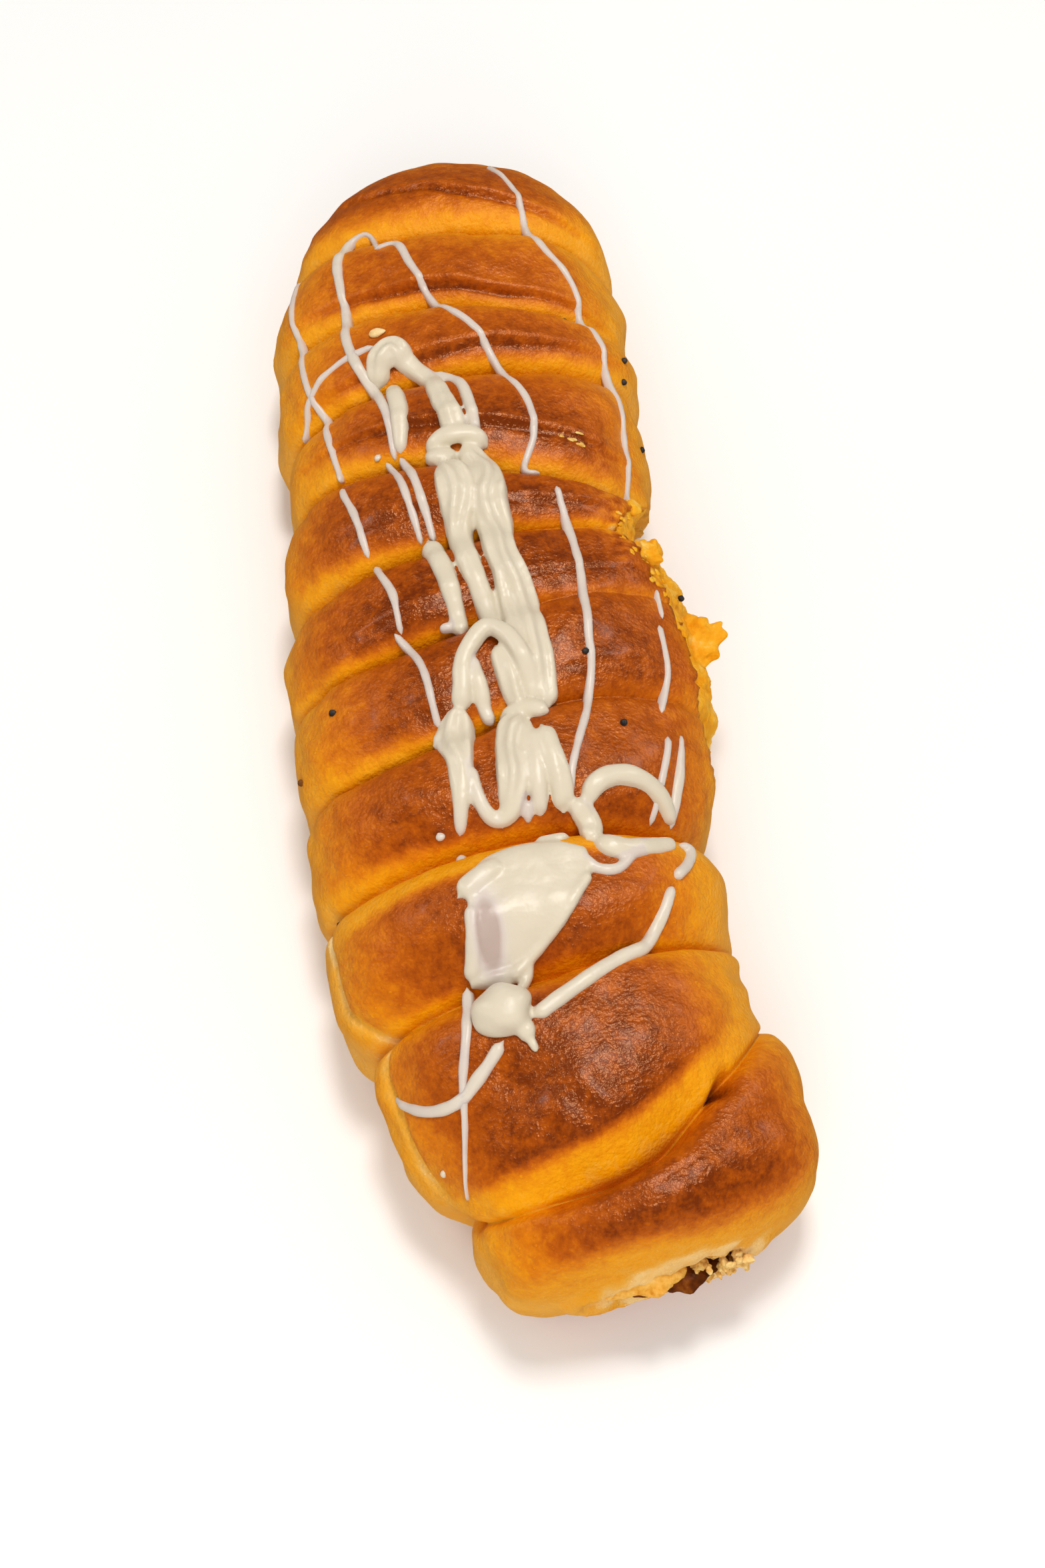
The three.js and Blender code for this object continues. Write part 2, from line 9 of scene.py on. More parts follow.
import bpy
import numpy as np
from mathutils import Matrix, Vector


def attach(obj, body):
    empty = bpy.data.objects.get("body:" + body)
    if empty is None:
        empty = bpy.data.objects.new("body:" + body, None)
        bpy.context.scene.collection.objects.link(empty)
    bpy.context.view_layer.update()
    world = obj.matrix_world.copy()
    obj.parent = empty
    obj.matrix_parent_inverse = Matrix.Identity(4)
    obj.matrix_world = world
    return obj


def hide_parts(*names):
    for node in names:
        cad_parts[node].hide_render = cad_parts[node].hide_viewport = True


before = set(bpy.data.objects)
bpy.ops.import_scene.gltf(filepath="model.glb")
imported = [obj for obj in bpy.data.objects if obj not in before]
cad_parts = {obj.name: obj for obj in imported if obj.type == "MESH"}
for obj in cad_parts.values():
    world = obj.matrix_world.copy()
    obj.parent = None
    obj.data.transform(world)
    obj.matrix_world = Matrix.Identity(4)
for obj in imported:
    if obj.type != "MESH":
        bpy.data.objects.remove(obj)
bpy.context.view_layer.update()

MM = 0.001
DEGREE = np.pi / 180


# %% [markdown]
# ## The bands
# The dough was slashed before baking, so it rose as a row of pillows with grooves between them. A sculptor
# would push them up by hand. Here every band is one row of sizes, from the near end to the far end, and all
# later shapes are worked out from these rows, in millimetres.

# %% Sizes of the bands
BAND_KEYS = ["length", "half_width", "height", "spine_x", "skew", "sag", "lean", "hang", "depth", "right"]
BAND_ROWS = np.array([
    [24.0, 27.2, 35.0, 3.2, 6.0, 5.0, 0.3, 7.4, 2.0, 1.0],
    [19.0, 30.9, 39.0, -2.2, -1.0, 0.0, -1.0, 0.0, 1.3, 1.0],
    [20.4, 33.2, 41.0, -5.0, -0.5, 0.0, 1.5, -2.0, 1.3, 1.0],
    [20.1, 33.6, 41.5, -3.4, 5.5, 0.0, 4.0, -3.0, 1.0, 0.35],
    [21.1, 35.9, 42.0, -2.1, 6.5, 0.0, 1.8, -1.0, 1.0, 0.15],
    [16.6, 35.7, 42.0, -2.3, -1.5, 0.0, 2.6, -0.7, 1.0, 0.4],
    [12.4, 34.0, 41.5, -2.2, -4.0, -2.0, -2.1, -1.6, 1.0, 1.0],
    [21.4, 32.6, 41.0, -0.8, 0.0, -1.0, 0.8, -2.0, 1.0, 1.0],
    [14.6, 33.7, 40.0, -1.2, 1.0, -2.5, -1.0, -2.5, 1.0, 1.0],
    [20.8, 33.1, 38.5, 2.0, 2.0, -1.0, 0.3, -2.4, 1.0, 1.0],
    [30.6, 29.0, 37.0, 6.5, 0.0, 0.0, 0.0, 0.0, 1.0, 1.0],
])
BAND = dict(zip(BAND_KEYS, BAND_ROWS.T))
BAND_COUNT = len(BAND_ROWS)
EDGES = np.concatenate(([0.0], np.cumsum(BAND["length"])))
MIDDLES = (EDGES[1:] + EDGES[:-1]) / 2
LENGTH = EDGES[-1]
NEAR_Y = -109.0
NEAR_SPINE_X = 12.8
NEAR_SKEW = -10.0
print(BAND_COUNT, "bands over", LENGTH, "mm")

# %% [markdown]
# ## Smooth change from band to band
# Width, height and bend change without a kink from one band to the next. A spline object could carry them,
# but a formula works on whole arrays at once: a cubic through the given values, with slopes taken from
# their neighbours. Two soft steps and a bell serve for every fade and every dent further on.

# %% Curves and steps
def curve_through(place, stops, values):
    """Cubic through values at stops: each piece blends its end values and the slopes at its two ends."""
    stops = np.asarray(stops, float)
    values = np.asarray(values, float)
    slopes = np.gradient(values, stops)
    i = np.clip(np.searchsorted(stops, place) - 1, 0, len(stops) - 2)
    span = stops[i + 1] - stops[i]
    t = np.clip((place - stops[i]) / span, 0, 1)
    ease = t * t * (3 - 2 * t)
    bow = span * t * (1 - t) * ((1 - t) * slopes[i] - t * slopes[i + 1])
    return values[i] * (1 - ease) + values[i + 1] * ease + bow


def smooth_step(value, start, finish):
    """0 before start, 1 after finish, and an even S between them."""
    t = np.clip((value - start) / (finish - start), 0, 1)
    return t * t * (3 - 2 * t)


def slow_step(value, middle, soft):
    """0 far below the middle and 1 far above it, by the logistic curve of this softness."""
    return 1 / (1 + np.exp((middle - value) / soft))


def bell(gap, width):
    """1 at no gap, falling on both sides as e to minus the square of gap over width."""
    return np.exp(-(gap / width) ** 2)


SLOPE_STEP = 0.05


def spine_at(along):
    """The spine's x and its slope, the change over a short step, at a distance along the roll."""
    values = np.concatenate(([NEAR_SPINE_X], BAND["spine_x"]))
    before = np.clip(along - SLOPE_STEP, 0, LENGTH)
    after = np.clip(along + SLOPE_STEP, 0, LENGTH)
    rise = curve_through(after, EDGES, values) - curve_through(before, EDGES, values)
    return curve_through(along, EDGES, values), rise / (after - before)


print("spine x at the ends:", spine_at(np.array([0.0, LENGTH]))[0])

# %% [markdown]
# ## The plain loaf
# Before its grooves, a cross section is an oval about its widest level, squarer below and cut flat by the
# tray. It could be a scaled cylinder, but a polar superellipse gives the flat base and the round shoulders
# in one formula. A place on it is millimetres along and an angle from the crest, to the right positive.

# %% The bare section and its place
WIDEST_LEVEL = 0.42
TOP_SQUARENESS = 2.2
BASE_SQUARENESS = 3.0
BASE_SINK = 1.5
NEAR_ROUNDING = (12.0, 2.6)
FAR_ROUNDING = (26.0, 2.1)


def end_scale(along):
    """Share of full size: 1 along the roll, falling as a rounded quarter to 0 at both tips."""
    scale = np.ones_like(along)
    for gap, (length, power) in ((along, NEAR_ROUNDING), (LENGTH - along, FAR_ROUNDING)):
        scale = scale * (1 - np.clip(1 - gap / length, 0, 1) ** power) ** (1 / power)
    return scale


def bare_radius(along, turn):
    """Polar superellipse: sine over half width and cosine over reach, each to a power, are added,
    and the sum is raised to minus one over that power."""
    up = np.cos(turn)
    height = curve_through(along, MIDDLES, BAND["height"])
    level = WIDEST_LEVEL * height
    power = np.where(up >= 0, TOP_SQUARENESS, BASE_SQUARENESS)
    reach = np.where(up >= 0, height - level, level + BASE_SINK)
    aside = np.abs(np.sin(turn)) / curve_through(along, MIDDLES, BAND["half_width"])
    return (aside ** power + (np.abs(up) / reach) ** power) ** (-1 / power)


def place_point(along, turn, radius):
    """Points in millimetres: out from the spine by radius at turn, with the section skewed and sagging."""
    side = np.sin(turn)
    up = np.cos(turn)
    scale = end_scale(along)
    x, slope = spine_at(along)
    stretch = np.hypot(1, slope)
    skew = curve_through(along, EDGES, np.concatenate(([NEAR_SKEW], BAND["skew"])))
    sag = curve_through(along, EDGES, np.concatenate(([0.0], BAND["sag"])))
    shift = scale * (0.5 * skew * side - sag * np.maximum(up, 0))
    out = radius * scale
    level = WIDEST_LEVEL * curve_through(along, MIDDLES, BAND["height"])
    return np.stack([
        x + (out * side + shift * slope) / stretch,
        NEAR_Y + along + (shift - out * side * slope) / stretch,
        np.maximum(level + out * up, 0),
    ], axis=-1)


def surface_point(along, turn, cut=0.0):
    """The point of the bare section, or of a surface that lies a cut below it."""
    return place_point(along, turn, bare_radius(along, turn) - cut)


middle = np.array([LENGTH / 2])
print("height at mid length:", surface_point(middle, 0 * middle)[0, 2].round(2))

# %% [markdown]
# ## The grooves
# Each band rises slowly from the groove in front of it to its crown and drops steeply behind it, as a loaf
# bursts open along a slash. A displacement texture could do it, but then the creases would swim. Here the
# line of every groove is known at every angle, and a place is told by its band and its share of the band.

# %% Lines of the grooves
def edge_at(index, turn):
    """Distance along of a groove line at a turn: it leans ahead on the right and hangs back at the crest."""
    lean = np.concatenate(([0.0], BAND["lean"][:-1], [0.0]))[index]
    hang = np.concatenate(([0.0], BAND["hang"][:-1], [0.0]))[index]
    return EDGES[index] + lean * np.sin(turn) - hang * np.maximum(np.cos(turn), 0)


def inner_edges(turn):
    """The lines of all the grooves between two bands, at each turn."""
    return np.stack([edge_at(i, turn) for i in range(1, BAND_COUNT)])


def band_share(along, turn):
    """The band that each place is on, the share of it from its near groove, and its length there."""
    band = (along >= inner_edges(turn)).sum(axis=0)
    start = edge_at(band, turn)
    length = edge_at(band + 1, turn) - start
    return band, (along - start) / length, length


print("groove lines at the crest:", edge_at(np.arange(BAND_COUNT + 1), 0.0).round(1))

# %% [markdown]
# A groove is deepest at the crest and shallow under the roll, and some of them close up to the right. The
# profile of a band is the product of two power curves, one up to its crown and one down behind it. A sine
# wave would be shorter to write, but it makes a string of sausages of the roll.

# %% Depth of the grooves
GROOVE_CREST, GROOVE_SIDE, GROOVE_UNDER = 5.0, 2.0, 0.8
CROWN_SHARE = 0.5
FRONT_CURVE, FRONT_POWER = 2.2, 0.7
BACK_CURVE, END_BACK_CURVE, BACK_POWER = 4.0, 5.0, 0.6
RIGHT_FROM, RIGHT_WIDTH = 0.25, 0.12
FIRST_GROOVE, FIRST_FADE, FIRST_LEFT_FADE = 0.8, 0.47, 1.3
FIRST_RIGHT_SPAN = (10 * DEGREE, 50 * DEGREE)
FIRST_LEFT_SPAN = (30 * DEGREE, 62 * DEGREE)


def own_groove(band, share, turn):
    """The groove before or behind a place on its band, and its strength, which some lose to the right."""
    groove = np.where(share > CROWN_SHARE, band, np.maximum(band - 1, 0))
    to_right = slow_step(np.sin(turn), RIGHT_FROM, RIGHT_WIDTH)
    return groove, 1 + (BAND["right"][groove] - 1) * to_right


def groove_cut(along, turn):
    """Groove depth times one less the band's profile, the product of its two power curves."""
    band, share, _ = band_share(along, turn)
    up = np.cos(turn)
    front = np.clip(1 - share / CROWN_SHARE, 0, 1)
    back = np.clip((share - CROWN_SHARE) / (1 - CROWN_SHARE), 0, 1)
    rise = (1 - front ** FRONT_CURVE) ** FRONT_POWER
    fall = (1 - back ** np.where(band == 0, END_BACK_CURVE, BACK_CURVE)) ** BACK_POWER
    groove, strength = own_groove(band, share, turn)
    ends = smooth_step(turn, *FIRST_RIGHT_SPAN) + FIRST_LEFT_FADE * smooth_step(-turn, *FIRST_LEFT_SPAN)
    strength = np.where(groove == 0, strength * (FIRST_GROOVE - FIRST_FADE * ends), strength)
    behind = share > CROWN_SHARE
    at_end = ((band == 0) & ~behind) | ((band == BAND_COUNT - 1) & behind)
    depth = GROOVE_SIDE + (np.where(up > 0, GROOVE_CREST, GROOVE_UNDER) - GROOVE_SIDE) * np.abs(up)
    return np.where(at_end, 0, depth * BAND["depth"][groove] * strength * (1 - rise * fall))


crest_lines = edge_at(np.arange(1, BAND_COUNT), 0.0)
print("groove depths at the crest:", groove_cut(crest_lines, 0 * crest_lines).round(1))

# %% [markdown]
# ## Uneven by nature
# No two places on a hand-made roll are alike. Blender has noise textures for materials, and for meshes this
# sum of a few dozen waves in random directions does the same: it is smooth, has one typical size, and
# a fixed seed gives the same roll on every run.

# %% Random waves
WAVE_SPREAD = (0.7, 1.5)


def ripples(points, size, seed, count=36):
    """Sum of sine waves about size long in random directions, scaled to stay mostly within -2 to 2."""
    rng = np.random.default_rng(seed)
    directions = rng.normal(size=(count, 3))
    directions /= np.linalg.norm(directions, axis=1, keepdims=True)
    pace = 2 * np.pi / (size * rng.uniform(*WAVE_SPREAD, count))
    phase = rng.uniform(0, 2 * np.pi, count)
    waves = np.sin(points @ (directions * pace[:, None]).T + phase)
    return waves.sum(axis=-1) / np.sqrt(count / 2)


def layered(points, layers):
    """Sum of ripples, one for each layer of size, height and seed."""
    return sum(height * ripples(points, size, seed) for size, height, seed in layers)


trial_points = np.random.default_rng(1).uniform(0, 99, (999, 3))
print("ripple spread:", ripples(trial_points, 9.0, 2).std().round(2))

# %% [markdown]
# ## Ledges
# Bands near the far end have a sharp ledge where the egg-washed skin stopped stretching. A bump map would
# leave the outline smooth there, so the ledge goes into the mesh. Its line is a share of the band, a little
# wavy, and its heights are functions of the distance from that line.

# %% Lines of the ledges
LEDGE_SHARE = np.array([0.0, 0.0, 0.0, 0.3, 0.3, 0.35, 0.42, 0.4, 0.28, 0.21, 0.34])
LEDGE_STEP = np.array([0.0, 0.0, 0.0, 0.0, 0.15, 0.3, 0.5, 1.0, 0.9, 1.1, 1.0])
LEDGE_TILT = np.array([0.0] * 10 + [-0.18])
LEDGE_SPAN, LEDGE_SPAN_POWER = 58 * DEGREE, 4
LEDGE_WAVE, LEDGE_WAVE_COUNT, LEDGE_WAVE_SHIFT = 0.008, 7, 2.3


def ledge_gap(along, turn):
    """Millimetres from the ledge line of the band, towards its crown, and the height of the ledge there."""
    band, share, length = band_share(along, turn)
    wave = LEDGE_WAVE * np.sin(LEDGE_WAVE_COUNT * turn + LEDGE_WAVE_SHIFT * band)
    line = LEDGE_SHARE[band] + LEDGE_TILT[band] * np.sin(turn) + wave
    strength = LEDGE_STEP[band] * np.exp(-(np.abs(turn) / LEDGE_SPAN) ** LEDGE_SPAN_POWER)
    return (share - line) * length, strength


print("ledges on", (LEDGE_STEP > 0).sum(), "bands, up to", LEDGE_STEP.max(), "mm high")

# %% [markdown]
# ## Creases, pits and the seam
# Every groove ends in a fine dark crease, the deep one near the open end has a pit at each end of its gap,
# and low on the left the layers of dough part in a seam. They could be lines in a texture, but seen from
# the side they are dents. Each has a function for the distance from it, in millimetres.

# %% Distances from creases, pits and the seam
PIT_TURNS = np.array([-78.0, 43.0]) * DEGREE
PIT_DEPTHS, PIT_WIDTH, PIT_STRETCH = (1.2, 2.8), 1.3, 0.6
SEAM_TURN, SEAM_SWAY, SEAM_NEAR, SEAM_FAR = -75 * DEGREE, 3 * DEGREE, 24.0, 66.0
SEAM_SLOW_WAVE, SEAM_QUICK_WAVE, SEAM_QUICK_SHARE, SEAM_FADE = 5.3, 1.7, 0.4, 6.0
ARC = 32.0


def groove_gap(along, turn):
    """Millimetres from the nearest groove line, with the two ends of the roll left out."""
    return np.abs(along - inner_edges(turn)).min(axis=0)


def seam_gap(along, turn):
    """Millimetres up from the seam low on the left, as turn times arc, and how much seam there is here."""
    line = SEAM_TURN + SEAM_SWAY * np.sin(along / SEAM_SLOW_WAVE)
    line = line + SEAM_QUICK_SHARE * SEAM_SWAY * np.sin(along / SEAM_QUICK_WAVE)
    begun = smooth_step(along, SEAM_NEAR, SEAM_NEAR + SEAM_FADE)
    ended = smooth_step(along, SEAM_FAR - SEAM_FADE, SEAM_FAR)
    return (turn - line) * ARC, begun * (1 - ended)


def pit_cut(along, turn):
    """Depth of the two pits on the first groove line, each a bell that is wider along the line."""
    gaps = [np.hypot(along - edge_at(1, turn), PIT_STRETCH * (turn - pit) * ARC) for pit in PIT_TURNS]
    return sum(depth * bell(gap, PIT_WIDTH) for depth, gap in zip(PIT_DEPTHS, gaps))


print("pits:", pit_cut(edge_at(1, PIT_TURNS), PIT_TURNS).round(2), "mm deep")

# %% [markdown]
# Every mark is now a bell or a step across its own line, and their sum is the fine relief of the skin. It
# could be sculpted, but then a groove that moves would leave its crease behind.

# %% Fine relief of the skin
LEDGE_SHARP, LEDGE_FADE = 0.3, 4.5
LEDGE_RIDGE, LEDGE_RIDGE_AT, LEDGE_RIDGE_WIDTH = 0.35, 1.1, 0.9
LEDGE_CREASE, LEDGE_CREASE_AT, LEDGE_CREASE_WIDTH = 0.45, -0.5, 0.45
CREASE_DEPTH, CREASE_WIDTH = 1.1, 0.7
CREASE_SPAN, CREASE_SPAN_POWER = 100 * DEGREE, 6
SEAM_DEPTH, SEAM_WIDTH = 0.9, 0.8
SKIRT_BULGE, SKIRT_BELOW, SKIRT_WIDTH = 0.7, 5.0, 3.5


def fine_relief(along, turn):
    """Outward height: a step at the ledge with a ridge on it, less bell-shaped creases, pits and seam."""
    gap, step = ledge_gap(along, turn)
    height = 0.5 * step * np.tanh(gap / LEDGE_SHARP) * np.exp(-np.abs(gap) / LEDGE_FADE)
    height += LEDGE_RIDGE * step * bell(gap - LEDGE_RIDGE_AT, LEDGE_RIDGE_WIDTH)
    height -= LEDGE_CREASE * step * bell(gap - LEDGE_CREASE_AT, LEDGE_CREASE_WIDTH)
    band, share, _ = band_share(along, turn)
    _, strength = own_groove(band, share, turn)
    fade = np.exp(-(np.abs(turn) / CREASE_SPAN) ** CREASE_SPAN_POWER)
    height -= CREASE_DEPTH * strength * fade * bell(groove_gap(along, turn), CREASE_WIDTH)
    height -= pit_cut(along, turn)
    rise, seam = seam_gap(along, turn)
    height -= seam * SEAM_DEPTH * bell(rise, SEAM_WIDTH)
    return height + seam * SKIRT_BULGE * bell(rise + SKIRT_BELOW, SKIRT_WIDTH)


print("relief in the pits:", fine_relief(edge_at(1, PIT_TURNS), PIT_TURNS).round(2), "mm")

# %% [markdown]
# ## The finished skin
# Low on the sides the bands swell and pinch where they leaned on each other as they rose. A sculptor's
# brush would do it, and a bell for each swell does it by number. Grooves, relief, swells and slow lumps
# together say how far the skin lies inside the plain loaf, and all later pieces ask this one function.

# %% Swells, lumps and the skin
SKIN_LUMPS = ((16.0, 0.32, 21), (6.0, 0.11, 22), (2.4, 0.016, 23))
LUMPS_ABOVE = 1.0
SIDE_SWELLS = [
    (17.0, 80.0, 6.0, 25.0, 3.6), (28.0, 80.0, 3.0, 25.0, -1.2), (35.0, 81.0, 4.5, 22.0, -1.9),
    (68.0, 90.0, 7.0, 22.0, -1.7), (24.0, -100.0, 3.2, 20.0, -4.2), (40.0, -90.0, 6.0, 20.0, -1.4),
    (57.0, -90.0, 6.0, 20.0, -0.9), (193.0, -78.0, 6.0, 20.0, 1.3),
]


def side_swell(along, turn):
    """Sum of hills and hollows low on the sides, each a height times a bell over along and round."""
    angle = turn / DEGREE
    return sum(height * np.exp(-((along - centre) / length) ** 2 - ((angle - aside) / reach) ** 2)
               for centre, aside, length, reach, height in SIDE_SWELLS)


def skin_cut(along, turn):
    """How far the skin lies inside the bare section: the grooves, less relief, swells and lumps."""
    bare = surface_point(along, turn)
    lumps = layered(bare, SKIN_LUMPS) * (bare[..., 2] > LUMPS_ABOVE)
    return groove_cut(along, turn) - (fine_relief(along, turn) + side_swell(along, turn) + lumps)


print("skin below the loaf at mid crest:", skin_cut(middle, 0 * middle).round(2), "mm")

# %% [markdown]
# ## The torn side
# On the right a strip of crust was torn away where the roll was pulled off its neighbour. A Boolean cut
# would leave a clean edge, so the strip is a mask with its borders shaken by ripples: the crust sinks inside
# it, and a separate piece of crumb comes up there.

# %% Mask of the torn strip
TEAR_NEAR, TEAR_FAR = 80.0, 142.5
TEAR_STOPS = [80.0, 84.0, 88.0, 95.0, 105.0, 111.0, 117.0, 122.0, 126.0, 131.0, 136.0, 142.5]
TEAR_TOP = [82.0, 76.0, 72.5, 68.0, 66.5, 61.0, 56.0, 55.0, 55.0, 63.0, 74.0, 82.0]
TEAR_LOWER = 126.0
TEAR_DEPTH = 7.0
TEAR_SHAKES = ((5.0, 0.8, 11), (1.9, 0.5, 12))
TEAR_SHAKE_ALONG, TEAR_SHAKE_ROUND = 1.1, 1.6
TEAR_END_FADE, TEAR_TOP_FADE, TEAR_LOWER_FADE = 2.2, 3.0, 8.0


def tear_top(along):
    """Degrees from the crest to the strip's upper border, at a distance along."""
    return curve_through(np.clip(along, TEAR_NEAR, TEAR_FAR), TEAR_STOPS, TEAR_TOP)


def tear_mask(along, turn, points, spread=0.0):
    """1 in the torn strip and 0 outside: the product of soft steps at its four borders, shaken by
    ripples, with the upper border raised by spread degrees."""
    shake = layered(points, TEAR_SHAKES)
    place = along + TEAR_SHAKE_ALONG * shake
    angle = turn / DEGREE + TEAR_SHAKE_ROUND * shake + spread
    begun = smooth_step(place, TEAR_NEAR, TEAR_NEAR + TEAR_END_FADE)
    ended = smooth_step(place, TEAR_FAR - TEAR_END_FADE, TEAR_FAR)
    top = tear_top(along)
    lower = smooth_step(angle, TEAR_LOWER - TEAR_LOWER_FADE, TEAR_LOWER)
    return begun * (1 - ended) * smooth_step(angle, top, top + TEAR_TOP_FADE) * (1 - lower)


print("torn strip:", TEAR_FAR - TEAR_NEAR, "mm long")

# %% [markdown]
# ## From arrays to meshes
# Every piece below is a grid of points: rows along a path, columns round it, and a tip at each end. One
# helper turns such grids into a mesh object, checks that it encloses a positive volume so that its faces
# point outwards, and lets it ride on the frame's one body.

# %% Mesh helpers
def closed_grid(grid, first_tip, last_tip):
    """Vertices and faces of a closed tube over grid[row, column], drawn to two tips and facing out."""
    rows, columns = grid.shape[:2]
    vertices = np.concatenate((grid.reshape(-1, 3), [first_tip, last_tip]))
    index = np.arange(rows * columns).reshape(rows, columns)
    beside = np.roll(index, -1, axis=1)
    quads = np.stack((index[:-1], beside[:-1], beside[1:], index[1:]), axis=-1).reshape(-1, 4)
    tip = rows * columns
    start = np.stack((np.full(columns, tip), beside[0], index[0]), axis=-1)
    finish = np.stack((np.full(columns, tip + 1), index[-1], beside[-1]), axis=-1)
    a, b, c, d = (vertices[quads[:, k]] for k in range(4))
    volume = (a * np.cross(b, c)).sum() + (a * np.cross(c, d)).sum()
    if volume < 0:
        quads, start, finish = quads[:, ::-1], start[:, ::-1], finish[:, ::-1]
    return vertices, quads.tolist() + start.tolist() + finish.tolist()


def join_shells(shells):
    """One list of vertices and one of faces from several, with the face numbers moved on."""
    counts = np.cumsum([0] + [len(vertices) for vertices, faces in shells])
    faces = [[v + start for v in face] for start, (_, part) in zip(counts, shells) for face in part]
    return np.concatenate([vertices for vertices, _ in shells]), faces


def make_piece(name, shell, replaced=None, attributes=None):
    """A smooth mesh object at the origin from a shell in millimetres, with any values for its vertices."""
    vertices, faces = shell
    mesh = bpy.data.meshes.new(name)
    mesh.from_pydata((np.asarray(vertices) * MM).tolist(), [], faces)
    mesh.polygons.foreach_set("use_smooth", np.ones(len(mesh.polygons), bool))
    piece = bpy.data.objects.new(name, mesh)
    bpy.context.scene.collection.objects.link(piece)
    for key, values in (attributes or {}).items():
        mesh.attributes.new(key, "FLOAT", "POINT").data.foreach_set("value", np.asarray(values, np.float32))
    if replaced:
        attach(piece, "root")
        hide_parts(replaced)
    mesh.calc_loop_triangles()
    print(name, "has", len(mesh.loop_triangles), "triangles")
    return piece


print("mesh helpers ready, one millimetre is", MM, "m")

# %% [markdown]
# ## The crust
# The crust is one fine grid whose rows follow the groove lines, so that every crease runs along the mesh
# and stays sharp. A voxel remesh would be quicker to write but would blur the creases. Rows are closer at
# the grooves, and columns are fewer underneath, where nobody looks.

# %% Grid of the crust
ROWS_PER_MM = 2.28
ROW_CROWDING = 0.5
TOP_REACH = 112 * DEGREE
TOP_COLUMNS, BASE_COLUMNS = 156, 34

turns = np.concatenate((
    np.linspace(-TOP_REACH, TOP_REACH, TOP_COLUMNS, endpoint=False),
    np.linspace(TOP_REACH, 2 * np.pi - TOP_REACH, BASE_COLUMNS, endpoint=False),
))
turns = np.where(turns > np.pi, turns - 2 * np.pi, turns)
row_places = []
for band in range(BAND_COUNT):
    count = int(ROWS_PER_MM * BAND["length"][band])
    step = np.arange(count) / count
    share = step - ROW_CROWDING * np.sin(2 * np.pi * step) / (2 * np.pi)
    start, finish = edge_at(band, turns), edge_at(band + 1, turns)
    row_places.append(start + share[:, None] * (finish - start))
crust_along = np.concatenate(row_places)[1:]
crust_turn = np.broadcast_to(turns, crust_along.shape)
bare_points = surface_point(crust_along, crust_turn)
torn = tear_mask(crust_along, crust_turn, bare_points)
print("crust grid:", crust_along.shape)

# %% [markdown]
# At the near end the dough was cut through. Its pale rim is rolled round a mouth from which the filling
# looks out. A Boolean cut would be sharp, so points in front of the filling are pushed in instead, and
# those round it swell a little.

# %% Points of the crust
MOUTH_CENTRE = (8.4, 12.9)
MOUTH_HALF = (11.8, 5.2)
MOUTH_DEPTH, MOUTH_SWELL = 4.2, 1.2
MOUTH_FADE, MOUTH_EDGE = (3.0, 14.0), (0.5, 1.2)
MOUTH_RAGGED = ((4.0, 0.12, 31),)
SWELL_RING, SWELL_WIDTH = 1.7, 0.5


def near_share(y, fade):
    """1 at the near end, falling to 0 between two distances from it."""
    return 1 - smooth_step(y - NEAR_Y, *fade)


def open_mouth(points):
    """Moves points of the near end inwards within an oval and outwards in a ring round it."""
    x, y, z = np.moveaxis(points, -1, 0)
    reach = ((x - MOUTH_CENTRE[0]) / MOUTH_HALF[0]) ** 2 + ((z - MOUTH_CENTRE[1]) / MOUTH_HALF[1]) ** 2
    ragged = reach + layered(points, MOUTH_RAGGED)
    push = MOUTH_DEPTH * (1 - smooth_step(ragged, *MOUTH_EDGE))
    push = push - MOUTH_SWELL * bell(ragged - SWELL_RING, SWELL_WIDTH)
    return np.stack((x, y + near_share(y, MOUTH_FADE) * push, z), axis=-1)


crust_cut = skin_cut(crust_along, crust_turn) + torn * TEAR_DEPTH
crust_points = open_mouth(surface_point(crust_along, crust_turn, crust_cut))
near_tip = open_mouth(place_point(np.zeros(1), np.zeros(1), np.zeros(1)))[0]
far_tip = place_point(np.array([LENGTH]), np.zeros(1), np.zeros(1))[0]
print("crust rises to", crust_points[..., 2].max().round(1), "mm")

# %% [markdown]
# ## How brown is each place
# An oven browns what stands up and leaves pale what was hidden in a groove until the dough sprang open.
# Painting that by hand would take a texture. Instead every vertex gets one number for how far it has baked,
# from 0, pale dough, to 1, dark crown, and the material turns that number into a colour.

# %% Browning of the bands
PEAK = np.array([0.92, 0.97, 0.86, 0.88, 0.94, 0.97, 0.93, 0.92, 0.78, 0.74, 0.76])
CROWN_FADE = np.array([0.1, 0.1, 0.1, 0.1, 0.1, 0.14, 0.18, 0.24, 0.28, 0.28, 0.36])
SLOPE_SHARE = np.array([0.15, 0.25, 0.03, 0.07, 0.11, 0.08, 0.11, 0.16, 0.15, 0.12, 0.2])
SLOPE_SOFT = np.array([0.16, 0.045, 0.06, 0.1, 0.12, 0.11, 0.13, 0.13, 0.12, 0.1, 0.13])
SLOPE_GRADUAL = np.array([0.3, 0.2, 0.5, 0.65, 0.7, 0.7, 0.7, 0.65, 0.6, 0.55, 0.5])
SLOPE_LEFT = np.array([0.11, -0.05, 0.06, 0.05, 0.1, 0.06, 0.1, 0.1, 0.1, 0.08, 0.05])
SLOPE_LEFT_FROM, SLOPE_LEFT_SPAN = np.array([-10.0] + [25.0] * 10), 47.0
GROOVE_RIGHT = np.array([0.0, 0.0, 0.0, 0.26, 0.5, 0.4, 0.14, 0.0, 0.0, 0.0, 0.0])
LIP_LEVEL = np.array([0.5, 0.5, 0.3, 0.8, 0.8, 0.78, 0.72, 0.56, 0.39, 0.37, 0.56])
